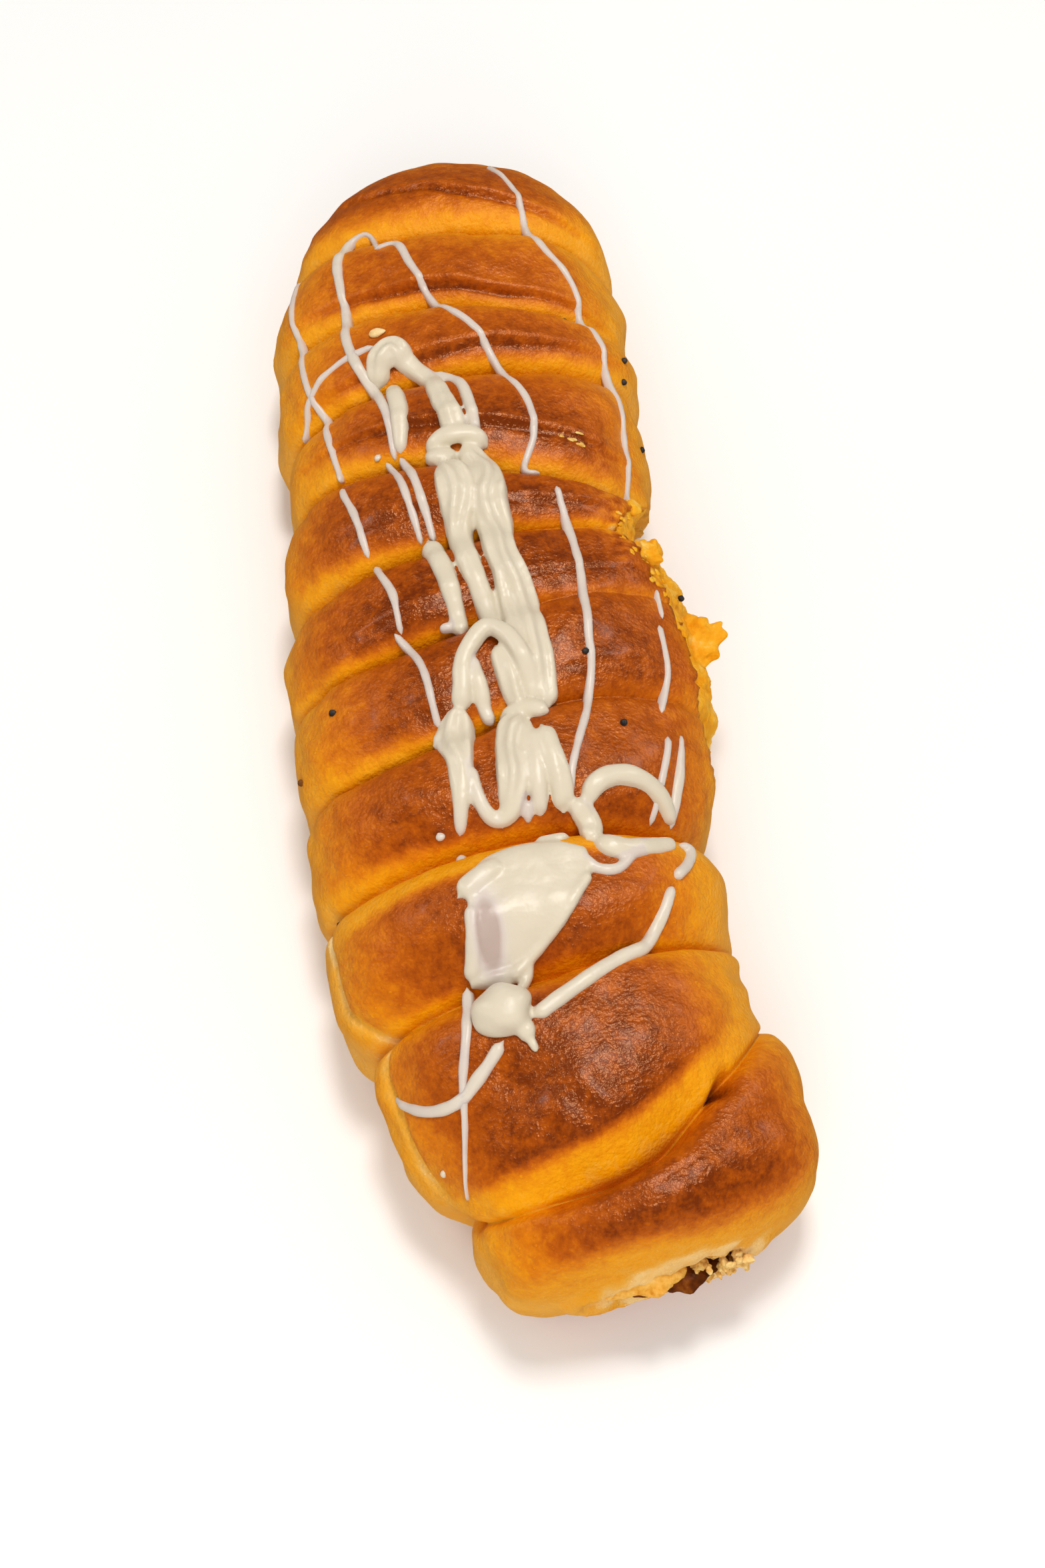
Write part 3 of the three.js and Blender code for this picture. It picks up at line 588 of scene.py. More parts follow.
LIP_SHARE = np.array([0.94, 0.9, 0.76, 0.9, 0.9, 0.9, 0.9, 0.87, 0.86, 0.86, 0.8])
WEDGE_BAND, WEDGE_RIGHT, WEDGE_CLOSED_LEVEL = 1, 41.0, 0.52
SLOPE_START, CROWN_FADE_SPAN, LIP_SPAN = 0.02, (0.45, 1.0), (-0.06, 0.08)
WEDGE_SPAN, GROOVE_RIGHT_SPAN = (-4.0, 6.0), (0.0, 28.0)
GROOVE_LEVEL = 0.28


def band_browning(band, share, angle):
    """Level across one band: from the groove's level up over the slope to the peak, and down to the lip."""
    leftward = smooth_step(-angle - SLOPE_LEFT_FROM[band], 0, SLOPE_LEFT_SPAN)
    slope = SLOPE_SHARE[band] + SLOPE_LEFT[band] * leftward
    soft = SLOPE_SOFT[band]
    rise = SLOPE_GRADUAL[band] * smooth_step(share, SLOPE_START, slope + soft)
    rise = rise + (1 - SLOPE_GRADUAL[band]) * smooth_step(share, slope - soft, slope + soft)
    lip = smooth_step(share - LIP_SHARE[band], *LIP_SPAN)
    crown = PEAK[band] - CROWN_FADE[band] * smooth_step(share, *CROWN_FADE_SPAN)
    crown = crown * (1 - lip) + LIP_LEVEL[band] * lip
    closed = (band == WEDGE_BAND) * smooth_step(angle - WEDGE_RIGHT, *WEDGE_SPAN)
    low_level = GROOVE_LEVEL + GROOVE_RIGHT[band] * smooth_step(angle, *GROOVE_RIGHT_SPAN)
    low_level = low_level + (WEDGE_CLOSED_LEVEL - low_level) * closed
    return low_level + (crown - low_level) * rise


print("peaks of the bands from", PEAK.min(), "to", PEAK.max())

# %% [markdown]
# The heat came from above, so each band fades to pale at its sides, at an angle of its own, and the base
# was browned again by the hot tray.

# %% Browning down the sides
LEFT_LIMIT = np.array([-55.0, -61.0, -58.0, -60.0, -56.0, -64.0, -64.0, -54.0, -54.0, -60.0, -76.0])
RIGHT_LIMIT = np.array([62.0, 44.0, 50.0, 68.0, 68.0, 67.0, 60.0, 58.0, 60.0, 57.0, 55.0])
LIMIT_SOFT = 9.0
LEFT_SIDE_LEVEL, RIGHT_SIDE_LEVEL, LOW_SIDE_LEVEL, BASE_LEVEL = 0.3, 0.25, 0.18, 0.62
LOW_SIDE_SPAN, BASE_SPAN = (66.0, 96.0), (112.0, 128.0)


def browning(along, turn):
    """The band's own level between its two limits, the side's level beyond them, and the base's below."""
    band, share, _ = band_share(along, turn)
    angle = turn / DEGREE
    inside = slow_step(angle, LEFT_LIMIT[band], LIMIT_SOFT)
    inside = inside * slow_step(-angle, -RIGHT_LIMIT[band], LIMIT_SOFT)
    low = smooth_step(np.abs(angle), *LOW_SIDE_SPAN)
    side = np.where(turn < 0, LEFT_SIDE_LEVEL, RIGHT_SIDE_LEVEL) * (1 - low) + LOW_SIDE_LEVEL * low
    level = side + (band_browning(band, share, angle) - side) * inside
    return level + (BASE_LEVEL - level) * smooth_step(np.abs(angle), *BASE_SPAN)


bake = browning(crust_along, crust_turn)
print("mean browning:", bake.mean().round(2))

# %% [markdown]
# Some places have a level of their own. Under the ridge of a ledge a darker line is partly the browned edge
# of the wash and partly painted shade, the pits are darkened as painted shade, and the lip of the seam is
# paler. The cut end has one level of its own, and the far end follows height instead of bands. The rim of
# the mouth and the torn strip never saw the heat. In a paint program each would be a layer, and here each
# is one more fade of the same number.

# %% Browning of edges, ends and the tear, with painted shade at ledges and pits
LEDGE_BROWN_AND_SHADE, LEDGE_BROWN_AND_SHADE_AT, LEDGE_BROWN_AND_SHADE_WIDTH = 0.2, -0.4, 0.7
SEAM_PALE, SEAM_PALE_BELOW, SEAM_PALE_WIDTH = 0.24, 0.6, 1.2
PIT_PAINTED_SHADE = 0.2
END_LEVEL, END_SPAN = 0.28, (0.4, 0.7)
FAR_CAP_LEVEL, FAR_CAP_HEIGHTS, FAR_CAP_SPAN = 0.5, (6.0, 26.0), (0.35, 0.85)
FAR_CAP_RAGGED, FAR_BASE_HEIGHTS = ((14.0, 2.5, 34),), (0.5, 5.0)
RIM_LEVEL, RIM_X, RIM_ABOVE, RIM_BELOW = 0.06, 10.4, 8.6, 6.0
RIM_FADE, RIM_EDGE, RIM_RAGGED = (3.0, 8.0), (1.1, 1.9), ((6.0, 0.15, 32),)
PALE_ALONG, PALE_LENGTH, PALE_TURN, PALE_REACH = 122.0, 9.0, 53.0, 8.0
PALE_LOSS, PALE_SPECKS = 0.2, ((2.0, 0.15, 33),)
TORN_LEVEL = 0.3


def rim_share(points):
    """1 on the rolled rim close round the mouth and 0 away from it."""
    x, y, z = np.moveaxis(points, -1, 0)
    tall = np.where(z > MOUTH_CENTRE[1], RIM_ABOVE, RIM_BELOW)
    reach = ((x - RIM_X) / MOUTH_HALF[0]) ** 2 + ((z - MOUTH_CENTRE[1]) / tall) ** 2
    return near_share(y, RIM_FADE) * (1 - smooth_step(reach + layered(points, RIM_RAGGED), *RIM_EDGE))


def far_browning(points):
    """Level by height on the far end: pale low down, browner above, and browned again at the base."""
    height = points[..., 2]
    raised = smooth_step(height + layered(points, FAR_CAP_RAGGED), *FAR_CAP_HEIGHTS)
    level = LOW_SIDE_LEVEL + (FAR_CAP_LEVEL - LOW_SIDE_LEVEL) * raised
    return level + (BASE_LEVEL - level) * (1 - smooth_step(height, *FAR_BASE_HEIGHTS))


gap, step = ledge_gap(crust_along, crust_turn)
# A darker line under the ridge of each ledge: partly the browned edge of the wash, partly painted shade in
# its crease.
bake += LEDGE_BROWN_AND_SHADE * step * bell(gap - LEDGE_BROWN_AND_SHADE_AT, LEDGE_BROWN_AND_SHADE_WIDTH)
seam_rise, seam_share = seam_gap(crust_along, crust_turn)
bake -= SEAM_PALE * seam_share * bell(seam_rise + SEAM_PALE_BELOW, SEAM_PALE_WIDTH)
# The pits are darkened by their depth: painted shade.
bake += PIT_PAINTED_SHADE * pit_cut(crust_along, crust_turn)
near_face = (crust_along < LENGTH / 2) * (1 - smooth_step(end_scale(crust_along), *END_SPAN))
bake += near_face * (END_LEVEL - bake)
far_cap = (crust_along > LENGTH / 2) * (1 - smooth_step(end_scale(crust_along), *FAR_CAP_SPAN))
cap_level = far_browning(crust_points)
bake += far_cap * (cap_level - bake)
bake += rim_share(crust_points) * (RIM_LEVEL - bake)
pale = bell(crust_along - PALE_ALONG, PALE_LENGTH) * bell(crust_turn / DEGREE - PALE_TURN, PALE_REACH)
bake -= pale * (PALE_LOSS + layered(bare_points, PALE_SPECKS))
bake += torn * (TORN_LEVEL - bake)
crust_values = np.concatenate((bake.ravel(), [0.0, cap_level[-1].mean()]))
crust = make_piece(
    "crust", closed_grid(crust_points, near_tip, far_tip), "roll", {"bake": crust_values})

# %% [markdown]
# ## A small language for materials
# A material is a graph of nodes, and sums in it are hard to read when every node is placed by hand. This
# class wraps one socket: arithmetic on it adds Math nodes, and its one method adds any other node, with its
# settings first and its sockets after them.

# %% Shader expressions
class Signal:
    """One value in a material's graph."""

    def __init__(self, tree, socket=None):
        self.tree = tree
        self.socket = socket

    def add(self, kind, sockets, settings=None, output=0):
        """Adds a node of this kind and returns one of its outputs as a new signal."""
        node = self.tree.nodes.new("ShaderNode" + kind)
        for key, value in (settings or {}).items():
            if key == "stops":
                ramp = node.color_ramp.elements
                while len(ramp) < len(value):
                    ramp.new(1.0)
                for element, (position, colour) in zip(ramp, value):
                    element.position = position
                    element.color = colour
            else:
                setattr(node, key, value)
        for key, value in sockets.items():
            if isinstance(value, Signal):
                self.tree.links.new(value.socket, node.inputs[key])
            else:
                node.inputs[key].default_value = value
        return Signal(self.tree, node.outputs[output] if node.outputs else None)

    def math(self, operation, first, second):
        """One Math node: the first value, the operation, the second value."""
        return self.add("Math", {0: first, 1: second}, {"operation": operation})

    def __add__(self, other):
        return self.math("ADD", self, other)

    def __radd__(self, other):
        return self.math("ADD", other, self)

    def __sub__(self, other):
        return self.math("SUBTRACT", self, other)

    def __rsub__(self, other):
        return self.math("SUBTRACT", other, self)

    def __mul__(self, other):
        return self.math("MULTIPLY", self, other)

    def __rmul__(self, other):
        return self.math("MULTIPLY", other, self)


def colour(red, green, blue):
    """A display colour of 0 to 255 a channel as linear light with full opacity."""
    share = np.array([red, green, blue]) / 255
    linear = np.where(share <= 0.04045, share / 12.92, ((share + 0.055) / 1.055) ** 2.4)
    return (*linear.tolist(), 1.0)


OBJECT_PLACE, ATTRIBUTE_VALUE = 3, 2


def new_finish(name, piece):
    """An empty node material on a piece: a signal to start its graph from, and the place on the object."""
    material = bpy.data.materials.new(name)
    material.use_nodes = True
    material.node_tree.nodes.clear()
    piece.data.materials.append(material)
    start = Signal(material.node_tree)
    return start, start.add("TexCoord", {}, output=OBJECT_PLACE)


def close_finish(start, sockets):
    """Ends a graph: a Principled shader with these sockets, into the material's output."""
    shader = start.add("BsdfPrincipled", sockets)
    start.add("OutputMaterial", {"Surface": shader})
    print("finish closed with", len(start.tree.nodes), "nodes")


print("shader language ready, white is", colour(255, 255, 255))

# %% [markdown]
# ## Egg-washed crust
# The skin is mottled and leathery: brown deepens in flecks about a millimetre across, tiny wrinkles catch
# the light, and the wash shines most where it is darkest. A painted image could show that, but only from
# one side. Here the bake number goes through a colour ramp after three sizes of noise are added to it, so
# the flecks follow the browning.

# %% Finish of the crust
BAKE_STOPS = [
    (0.0, colour(240, 208, 146)),
    (0.14, colour(232, 168, 60)),
    (0.3, colour(234, 154, 1)),
    (0.48, colour(214, 120, 1)),
    (0.68, colour(182, 86, 1)),
    (0.86, colour(151, 64, 1)),
    (1.0, colour(114, 43, 2)),
]
FLECK_MOTTLE, GRAIN_MOTTLE, LEAST_MOTTLE = 0.65, 0.3, 0.15
PATCH_MOTTLE, PINHOLE_DIP = 0.14, 0.16


def finish_crust(piece):
    """The bake number plus noise goes through the ramp, and roughness falls as the bake rises."""
    start, place = new_finish("egg_washed_crust", piece)
    baked = start.add("Attribute", {}, {"attribute_name": "bake"}, output=ATTRIBUTE_VALUE)
    patches = start.add("TexNoise", {"Vector": place, "Scale": 90.0, "Detail": 3.0})
    flecks = start.add("TexNoise", {"Vector": place, "Scale": 420.0, "Detail": 4.0, "Roughness": 0.6})
    grain = start.add("TexNoise", {"Vector": place, "Scale": 1500.0, "Detail": 2.0})
    pinholes = start.add("MapRange", {"Value": grain, "From Min": 0.66, "From Max": 0.74})
    mottle = (flecks - 0.5) * FLECK_MOTTLE + (grain - 0.5) * GRAIN_MOTTLE
    level = baked + (patches - 0.5) * PATCH_MOTTLE + mottle * (baked + LEAST_MOTTLE) - pinholes * PINHOLE_DIP
    hue = start.add("ValToRGB", {"Fac": level}, {"stops": BAKE_STOPS})
    wrinkles = flecks * 0.25 + grain * 0.75
    bump = start.add("Bump", {"Height": wrinkles, "Strength": 0.6, "Distance": 0.0006})
    close_finish(start, {
        "Base Color": hue,
        "Roughness": 0.64 - baked * 0.38 - pinholes * baked * 0.16,
        "Specular IOR Level": 0.5,
        "Specular Tint": (1.0, 0.54, 0.28, 1.0),
        "Coat Weight": (baked - 0.5) * 0.3 * grain,
        "Coat Roughness": 0.2,
        "Normal": bump,
    })


finish_crust(crust)

# %% [markdown]
# ## Torn crumb
# Inside the torn strip the dough shows as pale, stringy crumb full of small holes. A texture would look
# printed on from the side, so the holes are real: hundreds of round pits of random size are pressed into
# a finer grid, and its border dives under the crust.

# %% Crumb in the torn strip
CRUMB_ROWS, CRUMB_COLUMNS = 176, 116
CRUMB_FROM, CRUMB_MARGIN = 48.0, 4.0
HOLE_COUNT, HOLE_SEED, HOLE_SHARE = 460, 41, 0.45
HOLE_SIZES, HOLE_SIZE_POWER = (0.3, 1.3), 3
CRUMB_LEVELS = [1.8, 1.6, 0.4, -0.3, 2.2, 2.0, 1.3, 2.2, 4.2, 5.5, 5.5, 4.0]
CRUMB_EDGE_LEVEL, CRUMB_FALL = 0.5, 16.0
CRUMB_TUCK, CRUMB_SPREAD, CRUMB_THICKNESS = 7.8, 2.6, 1.0
SHREDS = ((7.0, 0.5, 42), (1.8, 0.18, 43))
SHREDS_AT_EDGE, SHREDS_BELOW = 0.3, 0.7


def crumb_holes(across, aside, reach_across, reach_aside):
    """Depth of random round pits: the deepest bowl at each place, the root of radius squared less gap
    squared."""
    rng = np.random.default_rng(HOLE_SEED)
    centre_across = rng.uniform(*reach_across, HOLE_COUNT)
    centre_aside = rng.uniform(*reach_aside, HOLE_COUNT)
    spread = rng.uniform(0, 1, HOLE_COUNT) ** HOLE_SIZE_POWER
    radius = HOLE_SIZES[0] + (HOLE_SIZES[1] - HOLE_SIZES[0]) * spread
    depth = np.zeros(across.shape)
    for x, y, r in zip(centre_across, centre_aside, radius):
        depth = np.maximum(depth, np.sqrt(np.maximum(r * r - (across - x) ** 2 - (aside - y) ** 2, 0)))
    return depth


strip_reach = (TEAR_NEAR - CRUMB_MARGIN, TEAR_FAR + CRUMB_MARGIN)
strip_angles = np.linspace(CRUMB_FROM, TEAR_LOWER + CRUMB_MARGIN, CRUMB_COLUMNS)
strip_along, strip_turn = np.meshgrid(
    np.linspace(*strip_reach, CRUMB_ROWS), strip_angles * DEGREE, indexing="ij")
strip_mask = tear_mask(strip_along, strip_turn, surface_point(strip_along, strip_turn), CRUMB_SPREAD)
holes = crumb_holes(strip_along, strip_turn * ARC, strip_reach, strip_angles[[0, -1]] * DEGREE * ARC)
print("torn crumb holes:", HOLE_COUNT, "deepest", holes.max().round(2), "mm")

# %% [markdown]
# The crumb lies level with the crust at the upper border and sinks below it further down. Outside the torn
# strip its grid dives under the crust, and a second sheet behind it closes the piece. Solidify could give
# it that thickness, but the back would repeat every hole.

# %% Points of the crumb
shreds = layered(surface_point(strip_along, strip_turn), SHREDS)
fall = smooth_step(strip_turn / DEGREE, tear_top(strip_along), tear_top(strip_along) + CRUMB_FALL)
lower_level = curve_through(np.clip(strip_along, TEAR_NEAR, TEAR_FAR), TEAR_STOPS, CRUMB_LEVELS)
torn_level = CRUMB_EDGE_LEVEL + (lower_level - CRUMB_EDGE_LEVEL) * fall
torn_level = torn_level - shreds * (SHREDS_AT_EDGE + SHREDS_BELOW * fall) + HOLE_SHARE * holes
sunk = CRUMB_TUCK + (torn_level - CRUMB_TUCK) * strip_mask + groove_cut(strip_along, strip_turn)
front = surface_point(strip_along, strip_turn, sunk)
back = surface_point(strip_along, strip_turn, np.maximum(sunk, CRUMB_TUCK) + CRUMB_THICKNESS)
crumb_grid = np.concatenate((front, back[:, ::-1]), axis=1)
crumb_shell = closed_grid(crumb_grid, crumb_grid[0].mean(0), crumb_grid[-1].mean(0))
print("crumb grid:", crumb_grid.shape)

# %% [markdown]
# ## Lumps
# Crumbs, drops and seeds are all small lumps that sit on the skin. A sphere and a noise modifier could make
# them, but they would have to be turned by hand. Here a lump is a ball of two angles, stretched, with
# ripples for its uneven surface, and the skin's own axes place it.

# %% Lumps and their places
FRAME_STEP, FRAME_TURN = 0.4, 0.02


def lump(size, rows, columns, rough, seed):
    """A ball over two angles, scaled to three half sizes, its radius raised and lowered by ripples."""
    polar = np.linspace(0, np.pi, rows + 2)[:, None]
    round_ = np.linspace(0, 2 * np.pi, columns, endpoint=False)[None, :]
    ball = np.stack(np.broadcast_arrays(
        np.sin(polar) * np.cos(round_), np.sin(polar) * np.sin(round_), np.cos(polar)), axis=-1)
    points = ball * np.asarray(size)
    for amount, wave, k in rough:
        points = points * (1 + amount * ripples(points, wave, seed + k))[..., None]
    return points


def lump_shell(points, axes, centre):
    """Places a lump's points by three axes and a centre, and closes it at its two poles."""
    placed = points @ np.asarray(axes) + centre
    return closed_grid(placed[1:-1], placed[0, 0], placed[-1, 0])


def crust_frame(along, turn):
    """A place on the skin with the bare section's axes there: round it, along it, and outward last."""
    along = np.atleast_1d(np.asarray(along, float))
    turn = np.atleast_1d(np.asarray(turn, float))
    ahead = surface_point(along + FRAME_STEP, turn) - surface_point(along - FRAME_STEP, turn)
    round_ = surface_point(along, turn + FRAME_TURN) - surface_point(along, turn - FRAME_TURN)
    outward = np.cross(round_, ahead)
    outward /= np.linalg.norm(outward, axis=-1, keepdims=True)
    ahead /= np.linalg.norm(ahead, axis=-1, keepdims=True)
    return surface_point(along, turn, skin_cut(along, turn)), np.cross(ahead, outward), ahead, outward


def on_crust(points, along, turn, lift):
    """A lump's points on the skin: the first size round the roll, the second along it, the third out."""
    spot, round_, ahead, outward = (values[0] for values in crust_frame(along, turn))
    return lump_shell(points, (round_, ahead, outward), spot + lift * outward)


def crust_lump(along, angle, size, lift, rough, seed, rows=20, columns=28):
    """A lump on the crust, at millimetres along and degrees round."""
    return on_crust(lump(size, rows, columns, rough, seed), along, angle * DEGREE, lift)


print("outward at the middle of the crest:", crust_frame(LENGTH / 2, 0.0)[3].round(2))

# %% [markdown]
# One shred of crumb stands out of the strip like a torn leaf, a tongue of dough hangs over the filling, and
# a lump of dough lies to the left of it. They could be pulled out of the grids of crumb and crust, but the
# points would stretch thin there, so they are lumps of their own, pushed in from outside.

# %% Flap, tongue and the dough beside the filling
FLAP_ALONG, FLAP_TURN, FLAP_LIFT = 102.0, 76.0, -1.2
FLAP_SIZE, FLAP_ROUGH = (1.7, 4.8, 5.2), ((0.16, 7.0, 1), (0.05, 2.4, 2))
TONGUE_CENTRE, TONGUE_SIZE = (5.4, -109.4, 17.8), (5.6, 3.4, 2.6)
TONGUE_ROUGH = ((0.07, 5.0, 1), (0.03, 1.6, 2))
BESIDE_CENTRE, BESIDE_SIZE, BESIDE_ROUGH = (0.6, -108.9, 14.4), (4.4, 2.9, 2.8), ((0.08, 5.0, 1),)
UPRIGHT = np.eye(3)

flap_shell = crust_lump(FLAP_ALONG, FLAP_TURN, FLAP_SIZE, FLAP_LIFT, FLAP_ROUGH, 51, 46, 60)
tongue_shell = lump_shell(lump(TONGUE_SIZE, 34, 48, TONGUE_ROUGH, 54), UPRIGHT, TONGUE_CENTRE)
beside_shell = lump_shell(lump(BESIDE_SIZE, 30, 42, BESIDE_ROUGH, 710), UPRIGHT, BESIDE_CENTRE)
print("flap stands out to x =", flap_shell[0][:, 0].max().round(1), "mm")

# %% [markdown]
# Tearing leaves loose crumbs: along the ragged upper edge of the strip, on the broken end to the right of
# the filling, and a few flakes where the crown of the eighth band blistered. Particles could scatter them,
# but a seeded list of small lumps is as quick, and it is the same on every run.

# %% Loose crumbs and flakes
EDGE_CRUMBS, END_CRUMBS = 30, 44
CRUMBS_NEAR, CRUMBS_FAR, CRUMBS_CROWDING = 104.0, 132.0, 0.6
EDGE_SIZES, EDGE_UNEVEN, EDGE_FORM = (0.2, 0.5), (0.7, 1.3), (1.2, 1.2, 0.5)
EDGE_OFFSET, EDGE_SCATTER, EDGE_LIFT = -0.5, 2.0, -0.1
END_LOW, END_HIGH, END_SIZES = (12.0, -110.2, 13.5), (21.0, -107.9, 18.6), (0.4, 1.1)
KNOBS = [(118.8, 62.0, (2.3, 2.5, 1.9), -0.7), (130.5, 63.0, (1.5, 1.7, 1.0), -0.5)]
FLAKES = [(142.7, 38.0, 1.2), (142, 41.0, 0.9), (143.2, 43.0, 0.7), (141.4, 44.5, 1.1)]
FLAKE_NARROWING, FLAKE_THICKNESS, FLAKE_LIFT = 0.45, 0.18, 0.03
CRUMB_ROUGH, KNOB_ROUGH = ((0.2, 1.3, 1), (0.1, 0.6, 2)), ((0.14, 3.0, 1), (0.06, 1.2, 2))


def loose_crumbs():
    """Lumps of random size round the strip's upper edge, then the knobs."""
    rng = np.random.default_rng(57)
    shells = []
    for k in range(EDGE_CRUMBS):
        along = CRUMBS_NEAR + (CRUMBS_FAR - CRUMBS_NEAR) * rng.uniform(0, 1) ** CRUMBS_CROWDING
        size = rng.uniform(*EDGE_SIZES) * rng.uniform(*EDGE_UNEVEN, 3) * EDGE_FORM
        angle = tear_top(along) + rng.normal(EDGE_OFFSET, EDGE_SCATTER)
        shells.append(crust_lump(along, angle, size, EDGE_LIFT, CRUMB_ROUGH, 600 + k, 8, 12))
    for k, (along, angle, size, lift) in enumerate(KNOBS):
        shells.append(crust_lump(along, angle, size, lift, KNOB_ROUGH, 700 + k, 30, 42))
    return shells


def flakes():
    """Thin crumbs that lie flat on the crown."""
    shells = []
    for k, (along, angle, size) in enumerate(FLAKES):
        form = (size, FLAKE_NARROWING * size, FLAKE_THICKNESS)
        shells.append(crust_lump(along, angle, form, FLAKE_LIFT, CRUMB_ROUGH, 760 + k, 12, 18))
    return shells


def end_crumbs():
    """Small lumps of random size in a box at the broken end."""
    rng = np.random.default_rng(58)
    shells = []
    for k in range(END_CRUMBS):
        points = lump(rng.uniform(*END_SIZES, 3), 12, 16, CRUMB_ROUGH, 720 + k)
        shells.append(lump_shell(points, UPRIGHT, rng.uniform(END_LOW, END_HIGH)))
    return shells


print(EDGE_CRUMBS + END_CRUMBS, "loose crumbs,", len(KNOBS), "knobs and", len(FLAKES), "flakes")

# %% [markdown]
# Crumb that touched the filling is stained by it, and the flakes are nearly as brown. All the crumb is one
# piece, so a number for each vertex, the share of cocoa, tells the groups apart: strip, dough at the mouth,
# flakes, and crumbs at the broken end. Separate materials could do that, but one number needs only one.

# %% The crumb as one piece
COCOA_SHARES = [0.0, 0.45, 0.7, 1.0]
crumb_groups = [
    [crumb_shell, flap_shell] + loose_crumbs(),
    [tongue_shell, beside_shell],
    flakes(),
    end_crumbs(),
]
group_sizes = [sum(len(vertices) for vertices, _ in group) for group in crumb_groups]
cocoa = np.repeat(COCOA_SHARES, group_sizes)
crumb = make_piece("torn_crumb", join_shells(sum(crumb_groups, [])), "roll", {"cocoa": cocoa})

# %% [markdown]
# Crumb is matt and lets light in, so it looks brightest on its ridges and glows yellow in its holes. One
# flat colour would look like putty. Noise of two sizes moves its colour between cream and egg yellow, or
# between two browns where there is cocoa, and a little light is scattered beneath.

# %% Finish of the crumb
CRUMB_STOPS = [
    (0.26, colour(204, 122, 6)), (0.4, colour(228, 149, 8)),
    (0.56, colour(234, 169, 36)), (0.74, colour(240, 202, 112)),
]
STAINED_STOPS = [(0.36, colour(172, 114, 46)), (0.48, colour(220, 170, 90)), (0.64, colour(242, 206, 138))]
MIX_FACTOR, MIX_FIRST, MIX_SECOND, MIX_RESULT = 0, 6, 7, 2


def finish_crumb(piece):
    """Two sizes of noise run through a yellow and a brown ramp, which are mixed by the cocoa number."""
    start, place = new_finish("torn_crumb", piece)
    clouds = start.add("TexNoise", {"Vector": place, "Scale": 260.0, "Detail": 4.0})
    fibres = start.add("TexNoise", {"Vector": place, "Scale": 1300.0, "Detail": 3.0})
    yellow = start.add("ValToRGB", {"Fac": clouds * 0.7 + fibres * 0.3}, {"stops": CRUMB_STOPS})
    brown = start.add("ValToRGB", {"Fac": clouds * 0.5 + fibres * 0.5}, {"stops": STAINED_STOPS})
    stain = start.add("Attribute", {}, {"attribute_name": "cocoa"}, output=ATTRIBUTE_VALUE)
    blend = {MIX_FACTOR: stain, MIX_FIRST: yellow, MIX_SECOND: brown}
    shade = start.add("Mix", blend, {"data_type": "RGBA"}, output=MIX_RESULT)
    bump = start.add("Bump", {"Height": fibres, "Strength": 0.6, "Distance": 0.0004})
    close_finish(start, {
        "Base Color": shade,
        "Roughness": 0.75 + fibres * 0.2,
        "Specular IOR Level": 0.15,
        "Subsurface Weight": 0.2,
        "Subsurface Radius": (1.0, 0.6, 0.25),
        "Subsurface Scale": 0.0015,
        "Normal": bump,
    })


finish_crumb(crumb)

# %% [markdown]
# ## The chocolate filling
# A rod of chocolate runs through the roll and looks out at the mouth. Only its near end is ever seen, and
# a lump there would do for the picture. But the filling does run through, so the rod keeps the frame's plain
# oval inside the dough and grows lumps towards the mouth.

# %% Filling
FILLING_OVERHANG, FILLING_COVER = 3.2, 22.0
FILLING_LEVEL, FILLING_HALF_WIDTH, FILLING_HALF_HEIGHT = 13.2, 10.8, 4.4
FILLING_OFFSET, FILLING_OFFSET_REACH = -4.8, 40.0
FILLING_ROWS, FILLING_COLUMNS, FILLING_CROWDING = 220, 72, 1.7
BLUNT_LENGTH, BLUNT_LEAST, BLUNT_GROWTH = 1.6, 0.55, 0.45
FILLING_LUMPS = ((4.5, 0.55, 61), (1.8, 0.25, 62))
LUMP_REACH, LUMP_SHARE, LUMP_FORWARD = 12.0, 0.7, -0.8
UNDERCUT, UNDERCUT_HEIGHTS = 3.4, (9.5, 16.0)
RIGHT_CUT, RIGHT_CUT_SPAN = 2.8, (11.0, 17.0)


def filling_rod():
    """An oval carried along the spine, its ends rounded, its radius shaken by ripples near the mouth."""
    step = np.linspace(0, 1, FILLING_ROWS)
    along = -FILLING_OVERHANG + (LENGTH - FILLING_COVER + FILLING_OVERHANG) * step ** FILLING_CROWDING
    x, slope = spine_at(np.maximum(along, 0))
    x = x + slope * np.minimum(along, 0)
    x = x + FILLING_OFFSET * np.maximum(1 - np.maximum(along, 0) / FILLING_OFFSET_REACH, 0)
    blunt = np.clip((along + FILLING_OVERHANG) / BLUNT_LENGTH, 0, 1)
    scale = (BLUNT_LEAST + BLUNT_GROWTH * np.sqrt(1 - (1 - blunt) ** 2))[:, None]
    round_ = np.linspace(0, 2 * np.pi, FILLING_COLUMNS, endpoint=False)
    wide = FILLING_HALF_WIDTH * scale * np.cos(round_)
    high = FILLING_HALF_HEIGHT * scale * np.sin(round_)
    y = NEAR_Y + along[:, None] + 0 * wide
    points = np.stack((x[:, None] + wide, y, FILLING_LEVEL + high), axis=-1)
    near = 1 - smooth_step(along, 0, LUMP_REACH)[:, None]
    raised = near * layered(points, FILLING_LUMPS) * LUMP_SHARE
    out = np.stack((np.cos(round_) + 0 * high, LUMP_FORWARD + 0 * high, np.sin(round_) + 0 * high), axis=-1)
    points = points + raised[..., None] * out
    points[..., 1] += UNDERCUT * near * (1 - smooth_step(points[..., 2], *UNDERCUT_HEIGHTS))
    points[..., 1] += RIGHT_CUT * near * smooth_step(points[..., 0], *RIGHT_CUT_SPAN)
    return points


rod = filling_rod()
filling = make_piece("filling", closed_grid(rod, rod[0].mean(0), rod[-1].mean(0)), "filling")

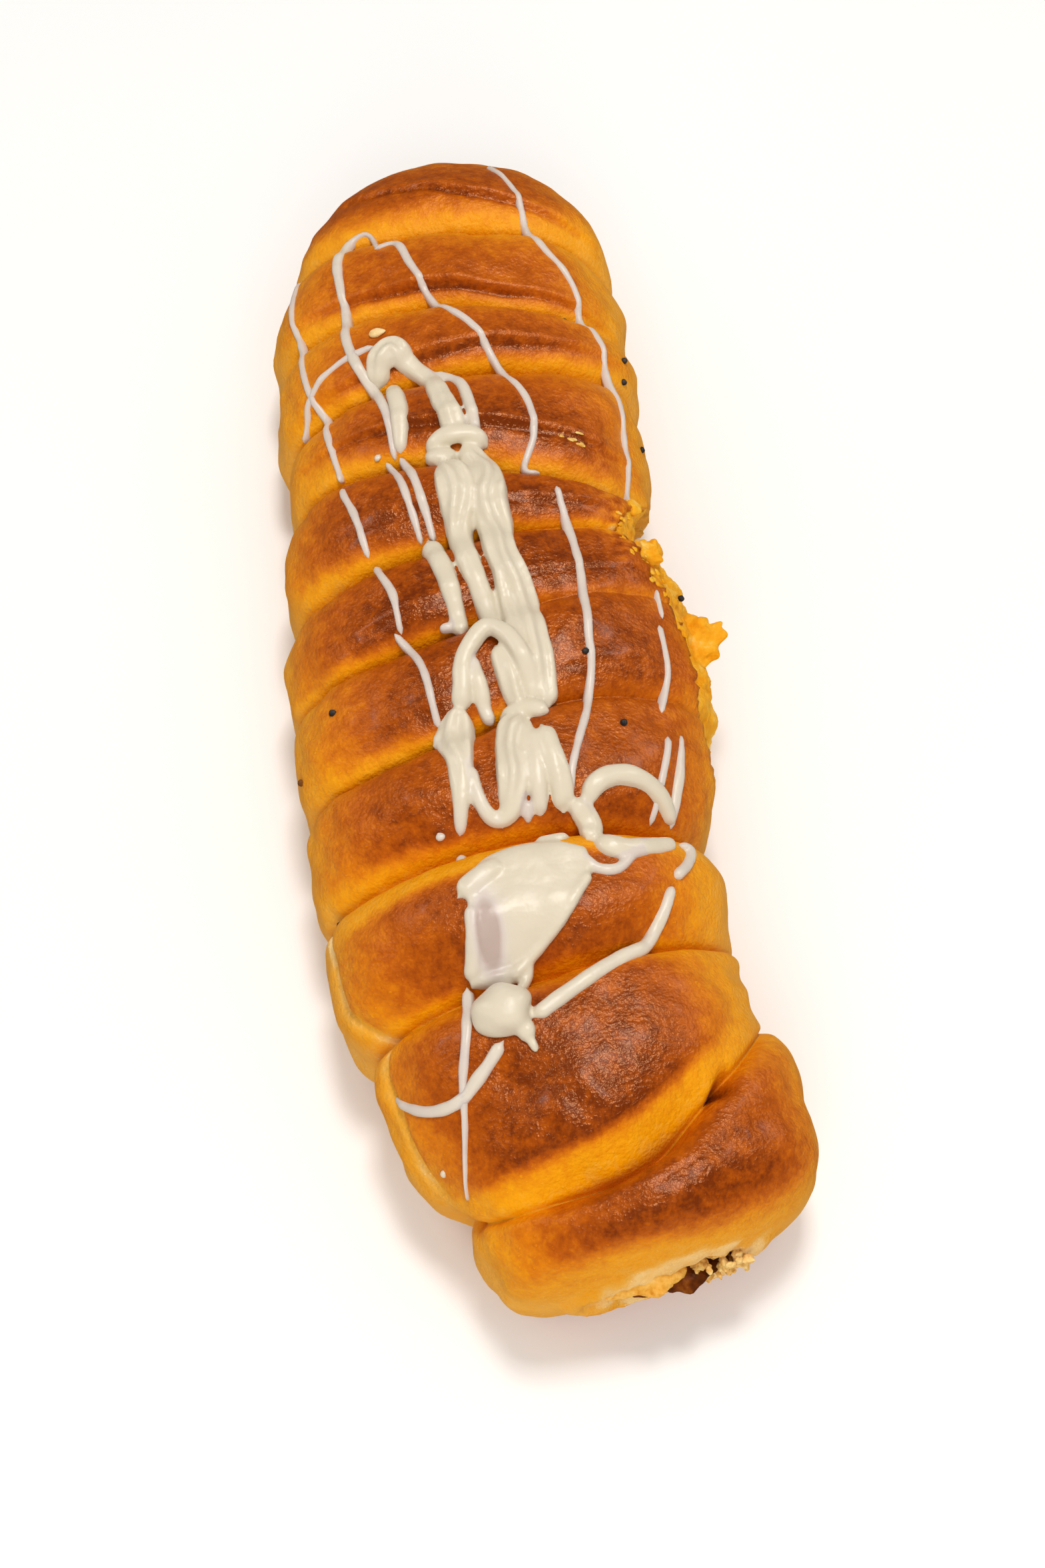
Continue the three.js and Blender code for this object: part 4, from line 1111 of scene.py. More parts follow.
# %% [markdown]
# Baked chocolate is dark, half glossy where it melted and dull where it dried, with lighter grains of sugar
# and nut in it. Grains could be modelled one by one, but at this size two layers of noise in the colour and
# one in the bump look the same.

# %% Finish of the filling
FILLING_STOPS = [
    (0.32, colour(58, 24, 2)), (0.52, colour(104, 46, 3)),
    (0.64, colour(140, 76, 10)), (0.78, colour(184, 128, 56)),
]


def finish_filling(piece):
    """Slow noise for melt and fast noise for grains, added and run through a ramp of browns."""
    start, place = new_finish("baked_chocolate", piece)
    melt = start.add("TexNoise", {"Vector": place, "Scale": 240.0, "Detail": 4.0})
    grains = start.add("TexNoise", {"Vector": place, "Scale": 900.0, "Detail": 3.0})
    hue = start.add("ValToRGB", {"Fac": melt * 0.65 + grains * 0.35}, {"stops": FILLING_STOPS})
    bump = start.add("Bump", {"Height": grains, "Strength": 0.6, "Distance": 0.0005})
    close_finish(start, {
        "Base Color": hue,
        "Roughness": 0.3 + melt * 0.4,
        "Specular IOR Level": 0.2,
        "Specular Tint": (1.0, 0.6, 0.4, 1.0),
        "Normal": bump,
    })


finish_filling(filling)

# %% [markdown]
# ## White chocolate
# It was drizzled from a bag: thin threads where the hand moved fast, thick ribbons and loops where it
# stopped, one stretched sheet and one drop. Curve objects with a bevel could follow them, but they would
# not lie on the crust. So each strand is a list of places on the crust: millimetres along, degrees round
# from the crest, width, and where it lies on another strand, its lift. The frame's solid has the same
# strands in a coarser form.

# %% Places of the strands
FAR_THREADS = [
    [(212, 22, 1.3), (201, 32, 1.4), (189, 39, 1.6), (180, 52, 1.5), (169, 58, 1.4), (156, 62, 1.5),
     (144, 65, 1.4), (133, 64, 1.1)],
    [(188, -34, 1.2), (195, -43, 1.3), (194, -48, 1.8), (187, -50, 2.3), (178, -47, 2.0), (167, -43, 2.2),
     (158, -38, 2.2), (149, -33, 1.8), (138, -31, 1.2)],
    [(188, -35, 1.2), (189, -29, 1.5), (181, -18, 1.7), (171, -4, 1.4), (165, 8, 1.7), (154, 20, 1.4),
     (149, 25, 1.7), (142, 27, 1.5), (134, 24, 1.2), (134, 28, 1.0)],
]
LEFT_THREADS = [
    [(190, -72, 1.3), (177, -67, 1.5), (163, -60, 1.6), (151, -57.5, 1.6), (137, -53, 1.2)],
    [(134.5, -51, 1.5), (127, -45, 1.7), (122, -44, 1.3)],
    [(120, -42, 1.4), (113, -36, 1.7), (107, -36, 1.2)],
    [(107, -38, 1.4), (99, -30, 1.6), (87, -26, 1.3)],
    [(155, -71, 1.0), (161, -62, 1.4), (164.5, -47, 1.5), (165, -34, 1.6)],
]
PAIR_THREADS = [
    [(137, -34, 1.2), (132.3, -28.3, 1.6), (127, -25.6, 1.5), (122.5, -24.4, 1.2)],
    [(137.4, -28.5, 1.4), (133.3, -23.9, 1.8), (127, -20.6, 1.8), (122.5, -19.4, 1.4)],
]
NEAR_THREADS = [
    [(37.9, -15, 2.0), (39.7, 7, 2.0), (41.5, 27.5, 1.8), (42.2, 36, 1.6), (46, 44, 1.7),
     (51.5, 50.3, 1.1)],
    [(44.2, -34, 1.7), (39, -39.5, 1.7), (35.7, -46, 1.6), (32, -52, 1.2), (28.7, -59, 0.9),
     (25, -68, 0.6)],
    [(36.8, -30, 2.3), (35, -41, 2.3), (33.8, -50, 2.2), (34.4, -59.7, 1.9), (35.8, -66.3, 1.8),
     (38.1, -73.6, 1.3)],
]
RIGHT_THREADS = [
    [(129.5, 32, 1.2), (124, 34, 1.7), (112, 34, 1.7), (99, 32, 1.7), (90.7, 32, 1.7), (85.7, 30, 1.6),
     (80, 25.2, 1.5), (75.3, 22.4, 1.5), (71, 22, 1.3)],
    [(108, 60, 0.9), (103, 60, 1.1)],
    [(101, 58, 1.3), (90, 58, 1.4), (86, 56, 1.2)],
    [(81.5, 56, 1.6), (73, 53, 1.5), (68, 52, 1.2)],
    [(82.5, 62, 1.0), (77, 61, 2.4), (72, 60, 2.2), (68, 60, 1.2)],
]
HEAD_STRANDS = [
    [(158, -36, 3.1), (160.5, -34, 4.0), (162.2, -31, 4.3), (163.2, -26, 4.6), (161.4, -23, 4.1),
     (159.4, -19.5, 3.1), (157, -15, 2.9), (153, -12, 3.3), (148.8, -9.7, 3.7), (145, -7, 3.8),
     (140.5, -5, 3.6)],
    [(157, -30.5, 2.4), (148, -27.5, 2.8), (142.2, -27.8, 2.3), (138.7, -28.4, 1.6)],
    [(157.5, -11, 1.2), (154.5, -3, 1.4), (147, 1.6, 1.5), (141.3, 3.6, 1.2)],
    [(137.6, -17, 2.2, 0.4), (139.6, -12.5, 2.6, 0.8), (140.5, -4.6, 2.8, 1.0), (140.3, 3.4, 2.6, 0.9),
     (138.9, 7.5, 2.2, 0.5)],
    [(138, -16.5, 2.4, 0.2), (136, -14, 3.0, 0.4), (136.6, -9, 2.6, 0.3), (137.4, -5, 2.0, 0.2)],
]
RIBBON_STRANDS = [
    [(139, -1, 2.8, 0.6), (135.8, 1.3, 4.4, 0.4), (133, 4.2, 5.6), (127, 5.2, 6.2), (123, 6, 5.6),
     (118, 5.8, 5.0), (112.6, 8, 5.6), (108, 9.3, 6.2), (102, 10, 6.4), (97, 12.4, 5.5),
     (92.8, 14, 4.5), (87, 16, 3.2)],
    [(135, -10, 4.4), (129.5, -7.4, 6.4), (125.8, -7.4, 5.6), (122.5, -8.6, 3.8), (119.5, -8.2, 3.5),
     (113.8, -6.2, 3.3), (110, -4.6, 3.2), (106.9, -3.4, 2.9), (103, -2, 2.6)],
    [(122, -21.3, 3.2), (115, -17, 3.0), (110.3, -15.8, 2.7), (107, -15.3, 2.4), (103.5, -14.5, 2.0)],
    [(105.6, -22.4, 0.9), (105.5, -17.7, 1.2)],
]
LOOP_STRANDS = [
    [(89, -17.5, 2.9), (93, -16, 2.7), (97.3, -14.8, 2.5, 0.4), (100.3, -10.2, 2.5, 1.0),
     (102.3, -4.6, 2.4, 1.6), (99.5, 2.2, 2.4, 2.0), (95.5, 6.7, 2.4, 2.0), (92.4, 9.1, 2.5, 1.4),
     (88, 11.5, 2.6, 0.5)],
    [(98.6, -2, 2.2), (94.4, 1.3, 3.9), (90.5, 5, 4.9), (87, 7.8, 5.0)],
    [(97.5, -10.9, 1.0), (94.5, -10.5, 1.9), (91.2, -9.3, 2.4), (88, -8.2, 1.7), (86, -6, 1.3)],
    [(89.2, -17.7, 3.4), (86.9, -19.5, 5.2), (84.2, -20.7, 6.2), (79.6, -19, 4.3), (74.6, -18.6, 3.3),
     (70.7, -19.2, 2.1), (67, -21, 0.9)],
    [(86, -21.7, 3.0), (83.7, -28, 1.6)],
    [(77.2, -15, 1.5), (72.4, -12.9, 1.7), (69.2, -9.4, 1.9), (68.2, -6, 1.8), (69.4, -1.5, 3.1),
     (71.7, 0, 4.1), (74.6, 0.7, 4.6), (79.1, 0.8, 5.0), (82.8, 2.2, 5.5), (86, 5.5, 5.0)],
    [(86.3, -2.2, 2.0, 0.5), (86.8, 8, 2.7, 0.7), (85.3, 15.1, 2.0, 0.5)],
    [(82.3, 9.3, 2.4), (77.2, 9.5, 2.2), (73.4, 10, 2.3), (68.6, 10.6, 1.7)],
    [(82.6, 12.5, 3.2), (77.1, 15.8, 3.2), (73.4, 18.4, 3.4), (69.1, 19.5, 3.1)],
    [(70.5, 5.7, 0.8), (67.8, 5.7, 0.8)],
]
RIGHT_LOOPS = [
    [(70, 28, 1.7), (72.5, 29.6, 2.7), (74.2, 34, 3.0), (74.9, 41, 3.0), (74, 48.8, 2.8), (71.8, 55.5, 2.4),
     (68.8, 60.5, 1.6)],
    [(70.4, 22.5, 3.0), (68.6, 27, 3.6), (66, 29.5, 3.4), (63, 26.5, 2.8)],
    [(63.5, 30, 2.8), (60.8, 33, 3.4), (60, 38, 3.1), (60.4, 46, 2.7), (62, 57, 1.9)],
    [(59, 23, 1.1), (56.4, 26, 1.3), (55.7, 32.4, 1.2), (58.5, 39.4, 1.0), (62, 47, 0.9)],
    [(62, 59, 1.0), (61.5, 63, 1.2), (57, 59, 1.3), (53.5, 52.2, 1.2)],
]
SHEET_EDGES = [
    [(56.4, -24.6, 2.8, 0.1), (58.2, -18, 3.2, 0.2), (60.4, -7, 2.6, 0.0)],
    [(54.3, -21.8, 1.8, 0.4), (49.8, -24.8, 1.9, 0.4), (45, -31.2, 2.0, 0.4)],
    [(55.4, 22.5, 1.1, 0.4), (49.4, 8.8, 1.4, 0.4), (45.9, -5.2, 1.4, 0.4), (43.3, -18, 1.4, 0.4)],
    [(45.3, -8.6, 0.9), (43.1, -11, 0.9), (41.5, -17, 1.0)],
    [(64.1, 7.6, 0.9), (64, 20, 1.1)],
]
SHEET_RIBS = [
    [(58.6, -22.8), (55.4, -23.2), (51.1, -24.9), (47.5, -28.2), (44.3, -33)],
    [(63, -9.8), (57.2, -10.5), (52.1, -14.5), (47.3, -21.6), (43.6, -29)],
    [(64, 9.5), (57.1, 5.6), (51.3, -2.9), (46.6, -14.3), (43, -24)],
    [(61.1, 25), (55.8, 24.3), (49.2, 10), (45.6, -6.5), (42.6, -18.8)],
]
DROP = [
    (39.9, -25.3, (4.5, 4.3, 3.8), 0.6),
    (37, -20.5, (1.5, 2.0, 1.5), 0.3),
    (35.6, -20.6, (0.8, 1.8, 0.9), 0.2),
]
DOTS = [(138.6, -39, 1.6), (67, -29, 1.8), (64, -25, 1.8), (29, -70, 1.5)]
THREADS = FAR_THREADS + LEFT_THREADS + PAIR_THREADS + NEAR_THREADS[1:] + RIGHT_THREADS
POURED = HEAD_STRANDS + RIBBON_STRANDS + LOOP_STRANDS + RIGHT_LOOPS + NEAR_THREADS[:1]
print(len(THREADS), "threads and", len(POURED), "poured strands")

# %% [markdown]
# Warm chocolate sinks into a groove but bridges its narrow bottom, so a strand's bed is the crust with the
# grooves averaged over a short length. A Shrinkwrap modifier would follow every crease instead.

# %% The bed of a strand
BRIDGE = (-3.6, -1.8, 0.0, 1.8, 3.6)
BED_SMOOTHING = np.array([1, 2, 3, 2, 1]) / 9
STRAND_STEP, LEAST_SECTIONS = 0.55, 6
END_REACH = 0.3


def poured_bed(along, turn):
    """Bed points and outward directions: the skin, or its mean depth before and after if that is higher."""
    cuts = np.stack([skin_cut(along + gap, turn) for gap in BRIDGE])
    dip = np.minimum(cuts.mean(axis=0), cuts[len(BRIDGE) // 2])
    _, _, _, outward = crust_frame(along, turn)
    return surface_point(along, turn) - outward * dip[:, None], outward


def strand_path(places):
    """A cubic through a strand's places: distance, bed, outward direction and width at even steps, and
    how far its two ends reach on."""
    places = np.array([(*place, 0.0)[:4] for place in places], float)
    knots, _ = poured_bed(places[:, 0], places[:, 1] * DEGREE)
    reach = np.concatenate(([0.0], np.cumsum(np.linalg.norm(np.diff(knots, axis=0), axis=1))))
    stops = np.linspace(0, reach[-1], max(int(reach[-1] / STRAND_STEP), LEAST_SECTIONS))
    along, turn, width, lift = (curve_through(stops, reach, places[:, k]) for k in range(4))
    bed, outward = poured_bed(along, turn * DEGREE)
    padded = np.pad(bed, ((2, 2), (0, 0)), mode="reflect", reflect_type="odd")
    bed = np.stack([np.convolve(padded[:, k], BED_SMOOTHING, mode="valid") for k in range(3)], axis=1)
    return stops, bed + lift[:, None] * outward, outward, width, END_REACH * places[[0, -1], 2]


print("first thread is", strand_path(THREADS[0])[0][-1].round(1), "mm long")

# %% [markdown]
# On its bed a strand is a low arch with its edges sunk, carried along the path and rounded off at both
# ends. A round tube would be simpler, but set chocolate lies flat, and a wide ribbon keeps soft folds.

# %% A strand
ARCH_POINTS = 13
STRAND_SINK, BASE_SHARE, BASE_DEPTH = 0.6, 0.7, 0.5
HEIGHT_SHARE, HEIGHT_LEAST, HEIGHT_MOST, SPARE_HEIGHT = 0.34, 0.5, 1.6, 0.3
FOLD_DEPTH, FOLD_WIDTHS, FOLD_WAVES = 0.5, (3.5, 6.0), 2.2
FOLD_START, FOLD_DRIFT, FOLD_LENGTH = 0.6, 1.2, 14.0
SHAKE_SHARE, SHAKE_LENGTH, SHAKE_MOST = 0.08, 3.5, 0.05
SLOW_SHAKE, SLOW_LENGTH = 0.6, 9.0
HEIGHT_SHAKE, HEIGHT_LENGTH = 0.04, 7.0
TIP_GAP, TAPER_LEAST = 0.1, 0.3


def strand(places, seed, squareness=2.4, spare=0.0):
    """A low arch carried along a path: height times (1 - |aside| to a power), narrowing as a circle does
    at its ends, with its base sunk below the bed."""
    stops, bed, outward, width, ends = strand_path(places)
    ahead = np.gradient(bed, axis=0)
    ahead /= np.linalg.norm(ahead, axis=1, keepdims=True)
    across = np.cross(outward, ahead)
    across /= np.linalg.norm(across, axis=1, keepdims=True)
    shake = np.minimum(SHAKE_MOST, SHAKE_SHARE / width)
    quick = shake * ripples(bed, SHAKE_LENGTH, seed)
    slow = SLOW_SHAKE * shake * ripples(bed, SLOW_LENGTH, seed + 1)
    width = width * (1 + quick + slow) + spare
    height = np.clip(HEIGHT_SHARE * width, HEIGHT_LEAST, HEIGHT_MOST) + SPARE_HEIGHT * spare
    height = height * (1 + HEIGHT_SHAKE * ripples(bed, HEIGHT_LENGTH, seed + 2))
    to_end = np.minimum(stops, stops[-1] - stops) + TIP_GAP
    taper = np.sqrt(1 - (1 - np.clip(to_end / np.maximum(0.5 * width, TAPER_LEAST), 0, 1)) ** 2)
    half = (0.5 * width * taper)[:, None]
    aside = np.linspace(-1, 1, ARCH_POINTS)
    arch = (1 - np.abs(aside) ** squareness) ** (1 / squareness)
    drift = (FOLD_START + FOLD_DRIFT * ripples(bed, FOLD_LENGTH, seed + 5))[:, None]
    waves = np.cos(FOLD_WAVES * np.pi * aside + drift)
    folds = (FOLD_DEPTH * smooth_step(width, *FOLD_WIDTHS))[:, None] * waves
    top = (height * taper)[:, None] * arch + folds * arch - STRAND_SINK * (1 - arch)
    base = np.full((len(stops), 2), -STRAND_SINK - BASE_DEPTH)
    sections = np.concatenate((half * aside, half * np.array([BASE_SHARE, -BASE_SHARE])), axis=1)
    raised = np.concatenate((top, base), axis=1)
    grid = bed[:, None] + sections[..., None] * across[:, None] + raised[..., None] * outward[:, None]
    first = bed[0] - ends[0] * ahead[0]
    last = bed[-1] + ends[1] * ahead[-1]
    return closed_grid(grid, first, last), bed, width


thread_parts = [strand(places, 100 + 3 * k) for k, places in enumerate(THREADS)]
print("threads:", sum(len(bed) for _, bed, _ in thread_parts), "sections")

# %% [markdown]
# Near the open end the chocolate is a sheet, stretched between a few strands. Cloth could be draped there,
# but a smooth grid through four ribs of places keeps its outline where it belongs.

# %% The stretched sheet
SHEET_GRID, SHEET_RIM, SHEET_THICKNESS, SHEET_WIDTH = 60, 1.3, 1.0, 6.0
SHEET_UNEVEN, SHEET_WAVE, SHEET_SINK = 0.05, 8.0, 1.4
SHEET_CENTRE_STEP = 3


def poured_sheet(ribs, seed):
    """A grid between ribs of places, cubic both ways, raised by its thickness and rounded at its rim."""
    ribs = np.array(ribs, float)
    across = np.linspace(0, 1, SHEET_GRID)
    rib_stops = np.linspace(0, 1, ribs.shape[0])
    place_stops = np.linspace(0, 1, ribs.shape[1])
    fine = []
    for values in np.moveaxis(ribs, -1, 0):
        wide = [curve_through(across, rib_stops, column) for column in values.T]
        fine.append([curve_through(across, place_stops, row) for row in np.transpose(wide)])
    fine = np.array(fine)
    bed, outward = poured_bed(fine[0].ravel(), fine[1].ravel() * DEGREE)
    bed = bed.reshape(SHEET_GRID, SHEET_GRID, 3)
    outward = outward.reshape(bed.shape)
    inwards = np.minimum(across, 1 - across)
    from_rim = np.minimum(inwards[:, None] * np.linalg.norm(bed[-1, 0] - bed[0, 0]),
                          inwards[None, :] * np.linalg.norm(bed[0, -1] - bed[0, 0]))
    rim = np.sqrt(1 - (1 - np.clip(from_rim / SHEET_RIM, 0, 1)) ** 2)
    thick = SHEET_THICKNESS * (1 + SHEET_UNEVEN * ripples(bed, SHEET_WAVE, seed))
    top = bed + ((thick + STRAND_SINK) * rim - STRAND_SINK)[..., None] * outward
    base = bed - SHEET_SINK * STRAND_SINK * outward
    grid = np.concatenate((top, base[:, ::-1]), axis=1)
    centres = bed[::SHEET_CENTRE_STEP, ::SHEET_CENTRE_STEP].reshape(-1, 3)
    return closed_grid(grid, grid[0].mean(0), grid[-1].mean(0)), centres, np.full(len(centres), SHEET_WIDTH)


sheet_part = poured_sheet(SHEET_RIBS, 500)
print("sheet:", len(sheet_part[0][0]), "vertices")

# %% [markdown]
# The thick strands ran into each other before they set. Overlapping arches would show hard lines where they
# meet, so these are joined by a voxel remesh, which makes one skin of them, and smoothed as
# surface tension would.

# %% Poured strands, sheet and drop in one skin
VOXEL = 0.34
POUR_SMOOTHING, SMOOTHING_FACTOR = 5, 0.5
POUR_SQUARENESS = 2.5
SMOOTHING_LOSS = 0.8
DROP_ROUGH, DROP_CENTRE_STEP = ((0.05, 5.0, 1),), 9
DOT_FORM, DOT_LIFT, DOT_ROUGH = np.array([0.5, 0.5, 0.35]), 0.1, ((0.08, 1.5, 1),)


def fused(shell, voxel, smoothing):
    """Vertices and faces of a shell after a voxel remesh and a smoothing pass, both applied."""
    rough = make_piece("pour_before_setting", shell)
    remesh = rough.modifiers.new("run_together", "REMESH")
    remesh.mode = "VOXEL"
    remesh.voxel_size = voxel * MM
    smooth = rough.modifiers.new("surface_tension", "SMOOTH")
    smooth.factor = SMOOTHING_FACTOR
    smooth.iterations = smoothing
    mesh = bpy.data.meshes.new_from_object(rough.evaluated_get(bpy.context.evaluated_depsgraph_get()))
    vertices = np.empty(len(mesh.vertices) * 3)
    mesh.vertices.foreach_get("co", vertices)
    corners = np.empty(len(mesh.loops), np.int32)
    mesh.loops.foreach_get("vertex_index", corners)
    sides = np.empty(len(mesh.polygons), np.int32)
    mesh.polygons.foreach_get("loop_total", sides)
    faces = [part.tolist() for part in np.split(corners, np.cumsum(sides)[:-1])]
    bpy.data.objects.remove(rough)
    bpy.data.meshes.remove(mesh)
    return vertices.reshape(-1, 3) / MM, faces


pour_parts = [
    strand(places, 300 + 3 * k, POUR_SQUARENESS, SMOOTHING_LOSS) for k, places in enumerate(POURED)]
for places in SHEET_EDGES:
    shell, bed, width = strand(places, 480, POUR_SQUARENESS, SMOOTHING_LOSS)
    pour_parts.append((shell, bed, np.full_like(width, SHEET_WIDTH)))
pour_parts.append(sheet_part)
for k, (along, angle, size, lift) in enumerate(DROP):
    shell = crust_lump(along, angle, size, lift, DROP_ROUGH, 71 + k, 40, 56)
    centres = shell[0][::DROP_CENTRE_STEP]
    pour_parts.append((shell, centres, np.full(len(centres), SHEET_WIDTH)))
dots = [crust_lump(along, angle, DOT_FORM * width, DOT_LIFT, DOT_ROUGH, 80 + k)
        for k, (along, angle, width) in enumerate(DOTS)]
pour_shell = fused(join_shells([part[0] for part in pour_parts] + dots), VOXEL, POUR_SMOOTHING)
print("fused pour:", len(pour_shell[0]), "vertices")

# %% [markdown]
# Thin threads let the brown crust show through and look lilac grey beside the ivory of the thick ones. True
# transparency would be slow and noisy. Instead each vertex takes a number from the width of the nearest
# strand section, which is found for thousands of vertices at a time. The sheet has one thin patch of
# its own.

# %% How thin each place is
THIN_WIDTH, THICK_WIDTH = 1.4, 3.4
PATCH_ALONG, PATCH_ANGLE, PATCH_AMOUNT = 49.6, -19.5, 2.4
PATCH_HALF = np.array([2.3, 6.2, 99.0])
BLOCK = 4000


def nearest_width(points, parts):
    """Width of the strand section nearest to each point, from squared distances worked out in blocks."""
    centres = np.concatenate([bed for _, bed, _ in parts])
    widths = np.concatenate([width for _, _, width in parts])
    found = []
    for block in np.array_split(points, max(len(points) // BLOCK, 1)):
        squares = (block ** 2).sum(1)[:, None] - 2 * block @ centres.T + (centres ** 2).sum(1)[None, :]
        found.append(widths[squares.argmin(axis=1)])
    return np.concatenate(found)


thread_shell = join_shells([part[0] for part in thread_parts])
thread_thin = 1 - smooth_step(nearest_width(thread_shell[0], thread_parts), THIN_WIDTH, THICK_WIDTH)
pour_thin = 1 - smooth_step(nearest_width(pour_shell[0], pour_parts), THIN_WIDTH, THICK_WIDTH)
patch, _ = poured_bed(np.array([PATCH_ALONG]), np.array([PATCH_ANGLE * DEGREE]))
patch_gap = (pour_shell[0] - patch[0]) / PATCH_HALF
pour_thin = np.maximum(pour_thin, PATCH_AMOUNT * np.exp(-(patch_gap ** 2).sum(1)))
threads = make_piece("white_chocolate_threads", thread_shell, "roll", {"thin": thread_thin})
pour = make_piece("white_chocolate_pour", pour_shell, "roll", {"thin": pour_thin})

# %% [markdown]
# White chocolate is ivory, smooth and softly shining, and light goes a little way into it. A plain white
# would look like paint. Its base colour runs from ivory to lilac grey with the thin number, clouded by slow
# noise, and both pieces share the one material.

# %% Finish of the white chocolate
IVORY_STOPS = [
    (0.0, colour(213, 202, 180)), (0.4, colour(213, 202, 187)),
    (0.65, colour(207, 194, 185)), (1.0, colour(184, 164, 154)),
]


def finish_white_chocolate(*pieces):
    """The thin number plus slow noise through a ramp from ivory to grey, with a low ripple for bump."""
    start, place = new_finish("white_chocolate", pieces[0])
    for piece in pieces[1:]:
        piece.data.materials.append(pieces[0].data.materials[0])
    thin = start.add("Attribute", {}, {"attribute_name": "thin"}, output=ATTRIBUTE_VALUE)
    clouds = start.add("TexNoise", {"Vector": place, "Scale": 180.0, "Detail": 3.0})
    ripple = start.add("TexNoise", {"Vector": place, "Scale": 420.0, "Detail": 2.0})
    level = thin * 0.65 + (clouds - 0.5) * 0.3
    hue = start.add("ValToRGB", {"Fac": level}, {"stops": IVORY_STOPS})
    bump = start.add("Bump", {"Height": ripple, "Strength": 0.25, "Distance": 0.0006})
    close_finish(start, {
        "Base Color": hue,
        "Roughness": 0.26 + clouds * 0.16,
        "Specular IOR Level": 0.3,
        "Subsurface Weight": 0.15,
        "Subsurface Radius": (1.0, 0.8, 0.55),
        "Subsurface Scale": 0.0012,
        "Normal": bump,
    })


finish_white_chocolate(pour, threads)

# %% [markdown]
# ## Seeds
# A few poppy seeds and one sesame seed came over from the next tray, with two burnt crumbs. A poppy seed is
# a tiny kidney with a netted skin, a sesame seed a flat drop with a pointed end. Plain spheres would pass
# from afar, but lumps with a changed outline cost no more.

# %% Poppy and sesame seeds
POPPY_RADIUS, POPPY_FORM = 0.62, np.array([1.05, 0.9, 0.85])
POPPY_ROUGH = ((0.07, 0.9, 1), (0.04, 0.3, 2))
POPPY_PLACES = [(170.8, 53.5, 1.0), (161.5, 70, 0.15), (158, 70.5, 0.15), (149, 77, 0.15), (95, 30, 0.15),
                (83, 42, 0.15), (96, -60, 0.15), (109.8, 73.5, -0.9)]
BURNT_PLACES = [(62, -76, 0.15), (88, -78, 0.15)]
SESAME_ALONG, SESAME_TURN, SESAME_LIFT = 167.0, -31 * DEGREE, 0.3
SESAME_SIZE, SESAME_ROUGH = (1.6, 1.0, 0.6), ((0.02, 1.2, 1),)
SESAME_POINT, SESAME_POINT_SPAN = 0.38, (-0.4, 1.7)


def seeds(places, seed):
    """Small balls of three unequal sizes, with fine ripples for the net on their skin."""
    size = POPPY_RADIUS * POPPY_FORM
    return join_shells([crust_lump(along, angle, size, lift, POPPY_ROUGH, seed + k, 14, 20)
                        for k, (along, angle, lift) in enumerate(places)])


def sesame():
    """A flat ball drawn to a point: its half width shrinks along its length."""
    ball = lump(SESAME_SIZE, 22, 32, SESAME_ROUGH, 95)
    narrowing = 1 - SESAME_POINT * smooth_step(ball[..., 0], *SESAME_POINT_SPAN)
    ball = ball * np.stack((np.ones_like(narrowing), narrowing, narrowing), axis=-1)
    return on_crust(ball, SESAME_ALONG, SESAME_TURN, SESAME_LIFT)


poppies = make_piece("poppy_seeds", seeds(POPPY_PLACES, 90), "roll")
sesame_seed = make_piece("sesame_seed", sesame(), "roll")
burnt = make_piece("burnt_crumbs", seeds(BURNT_PLACES, 97), "roll")

# %% [markdown]
# The three kinds differ only in colour and gloss, so one function makes all their materials: cells of
# a Voronoi pattern raise the net on the skin, and noise moves the colour between two shades.

# %% Finish of the seeds
def finish_seed(piece, name, dark, light, roughness):
    """Noise between a dark and a light shade, with a net of cells for bump."""
    start, place = new_finish(name, piece)
    net = start.add("TexVoronoi", {"Vector": place, "Scale": 4200.0})
    clouds = start.add("TexNoise", {"Vector": place, "Scale": 900.0, "Detail": 3.0})
    hue = start.add("ValToRGB", {"Fac": clouds}, {"stops": [(0.35, dark), (0.7, light)]})
    bump = start.add("Bump", {"Height": net, "Strength": 0.4, "Distance": 0.0001})
    close_finish(start, {
        "Base Color": hue,
        "Roughness": roughness + clouds * 0.2,
        "Specular IOR Level": 0.3,
        "Normal": bump,
    })


finish_seed(poppies, "poppy_skin", colour(30, 27, 28), colour(66, 58, 54), 0.5)
finish_seed(burnt, "burnt_crumb", colour(74, 38, 8), colour(128, 76, 20), 0.6)
finish_seed(sesame_seed, "sesame_skin", colour(226, 186, 120), colour(240, 214, 160), 0.45)

# %% [markdown]
# ## Floor
# The roll lies on a plain pale floor. One big face would do for a flat floor, and this grid is as flat. It
# lies a hair below the base, and it is kept out of mirrored light so that the glossy crust doesn't pick up
# a white rim.

# %% Floor
FLOOR_HALF, FLOOR_SIDE, FLOOR_LEVEL = 2.0, 9, -0.00005
FLOOR_STOPS = [(0.3, (0.9, 0.9, 0.9, 1)), (0.7, (0.93, 0.93, 0.93, 1))]
floor_steps = np.linspace(-1, 1, FLOOR_SIDE) * FLOOR_HALF
floor_x, floor_y = np.meshgrid(floor_steps, floor_steps, indexing="ij")
floor_points = np.stack((floor_x, floor_y, np.full_like(floor_x, FLOOR_LEVEL)), axis=-1).reshape(-1, 3)
index = np.arange(FLOOR_SIDE ** 2).reshape(FLOOR_SIDE, FLOOR_SIDE)
floor_quads = np.stack((index[:-1, :-1], index[1:, :-1], index[1:, 1:], index[:-1, 1:]), axis=-1)
floor = make_piece("floor", (floor_points / MM, floor_quads.reshape(-1, 4).tolist()))
floor.visible_glossy = False
start, place = new_finish("pale_floor", floor)
haze = start.add("TexNoise", {"Vector": place, "Scale": 6.0, "Detail": 2.0})
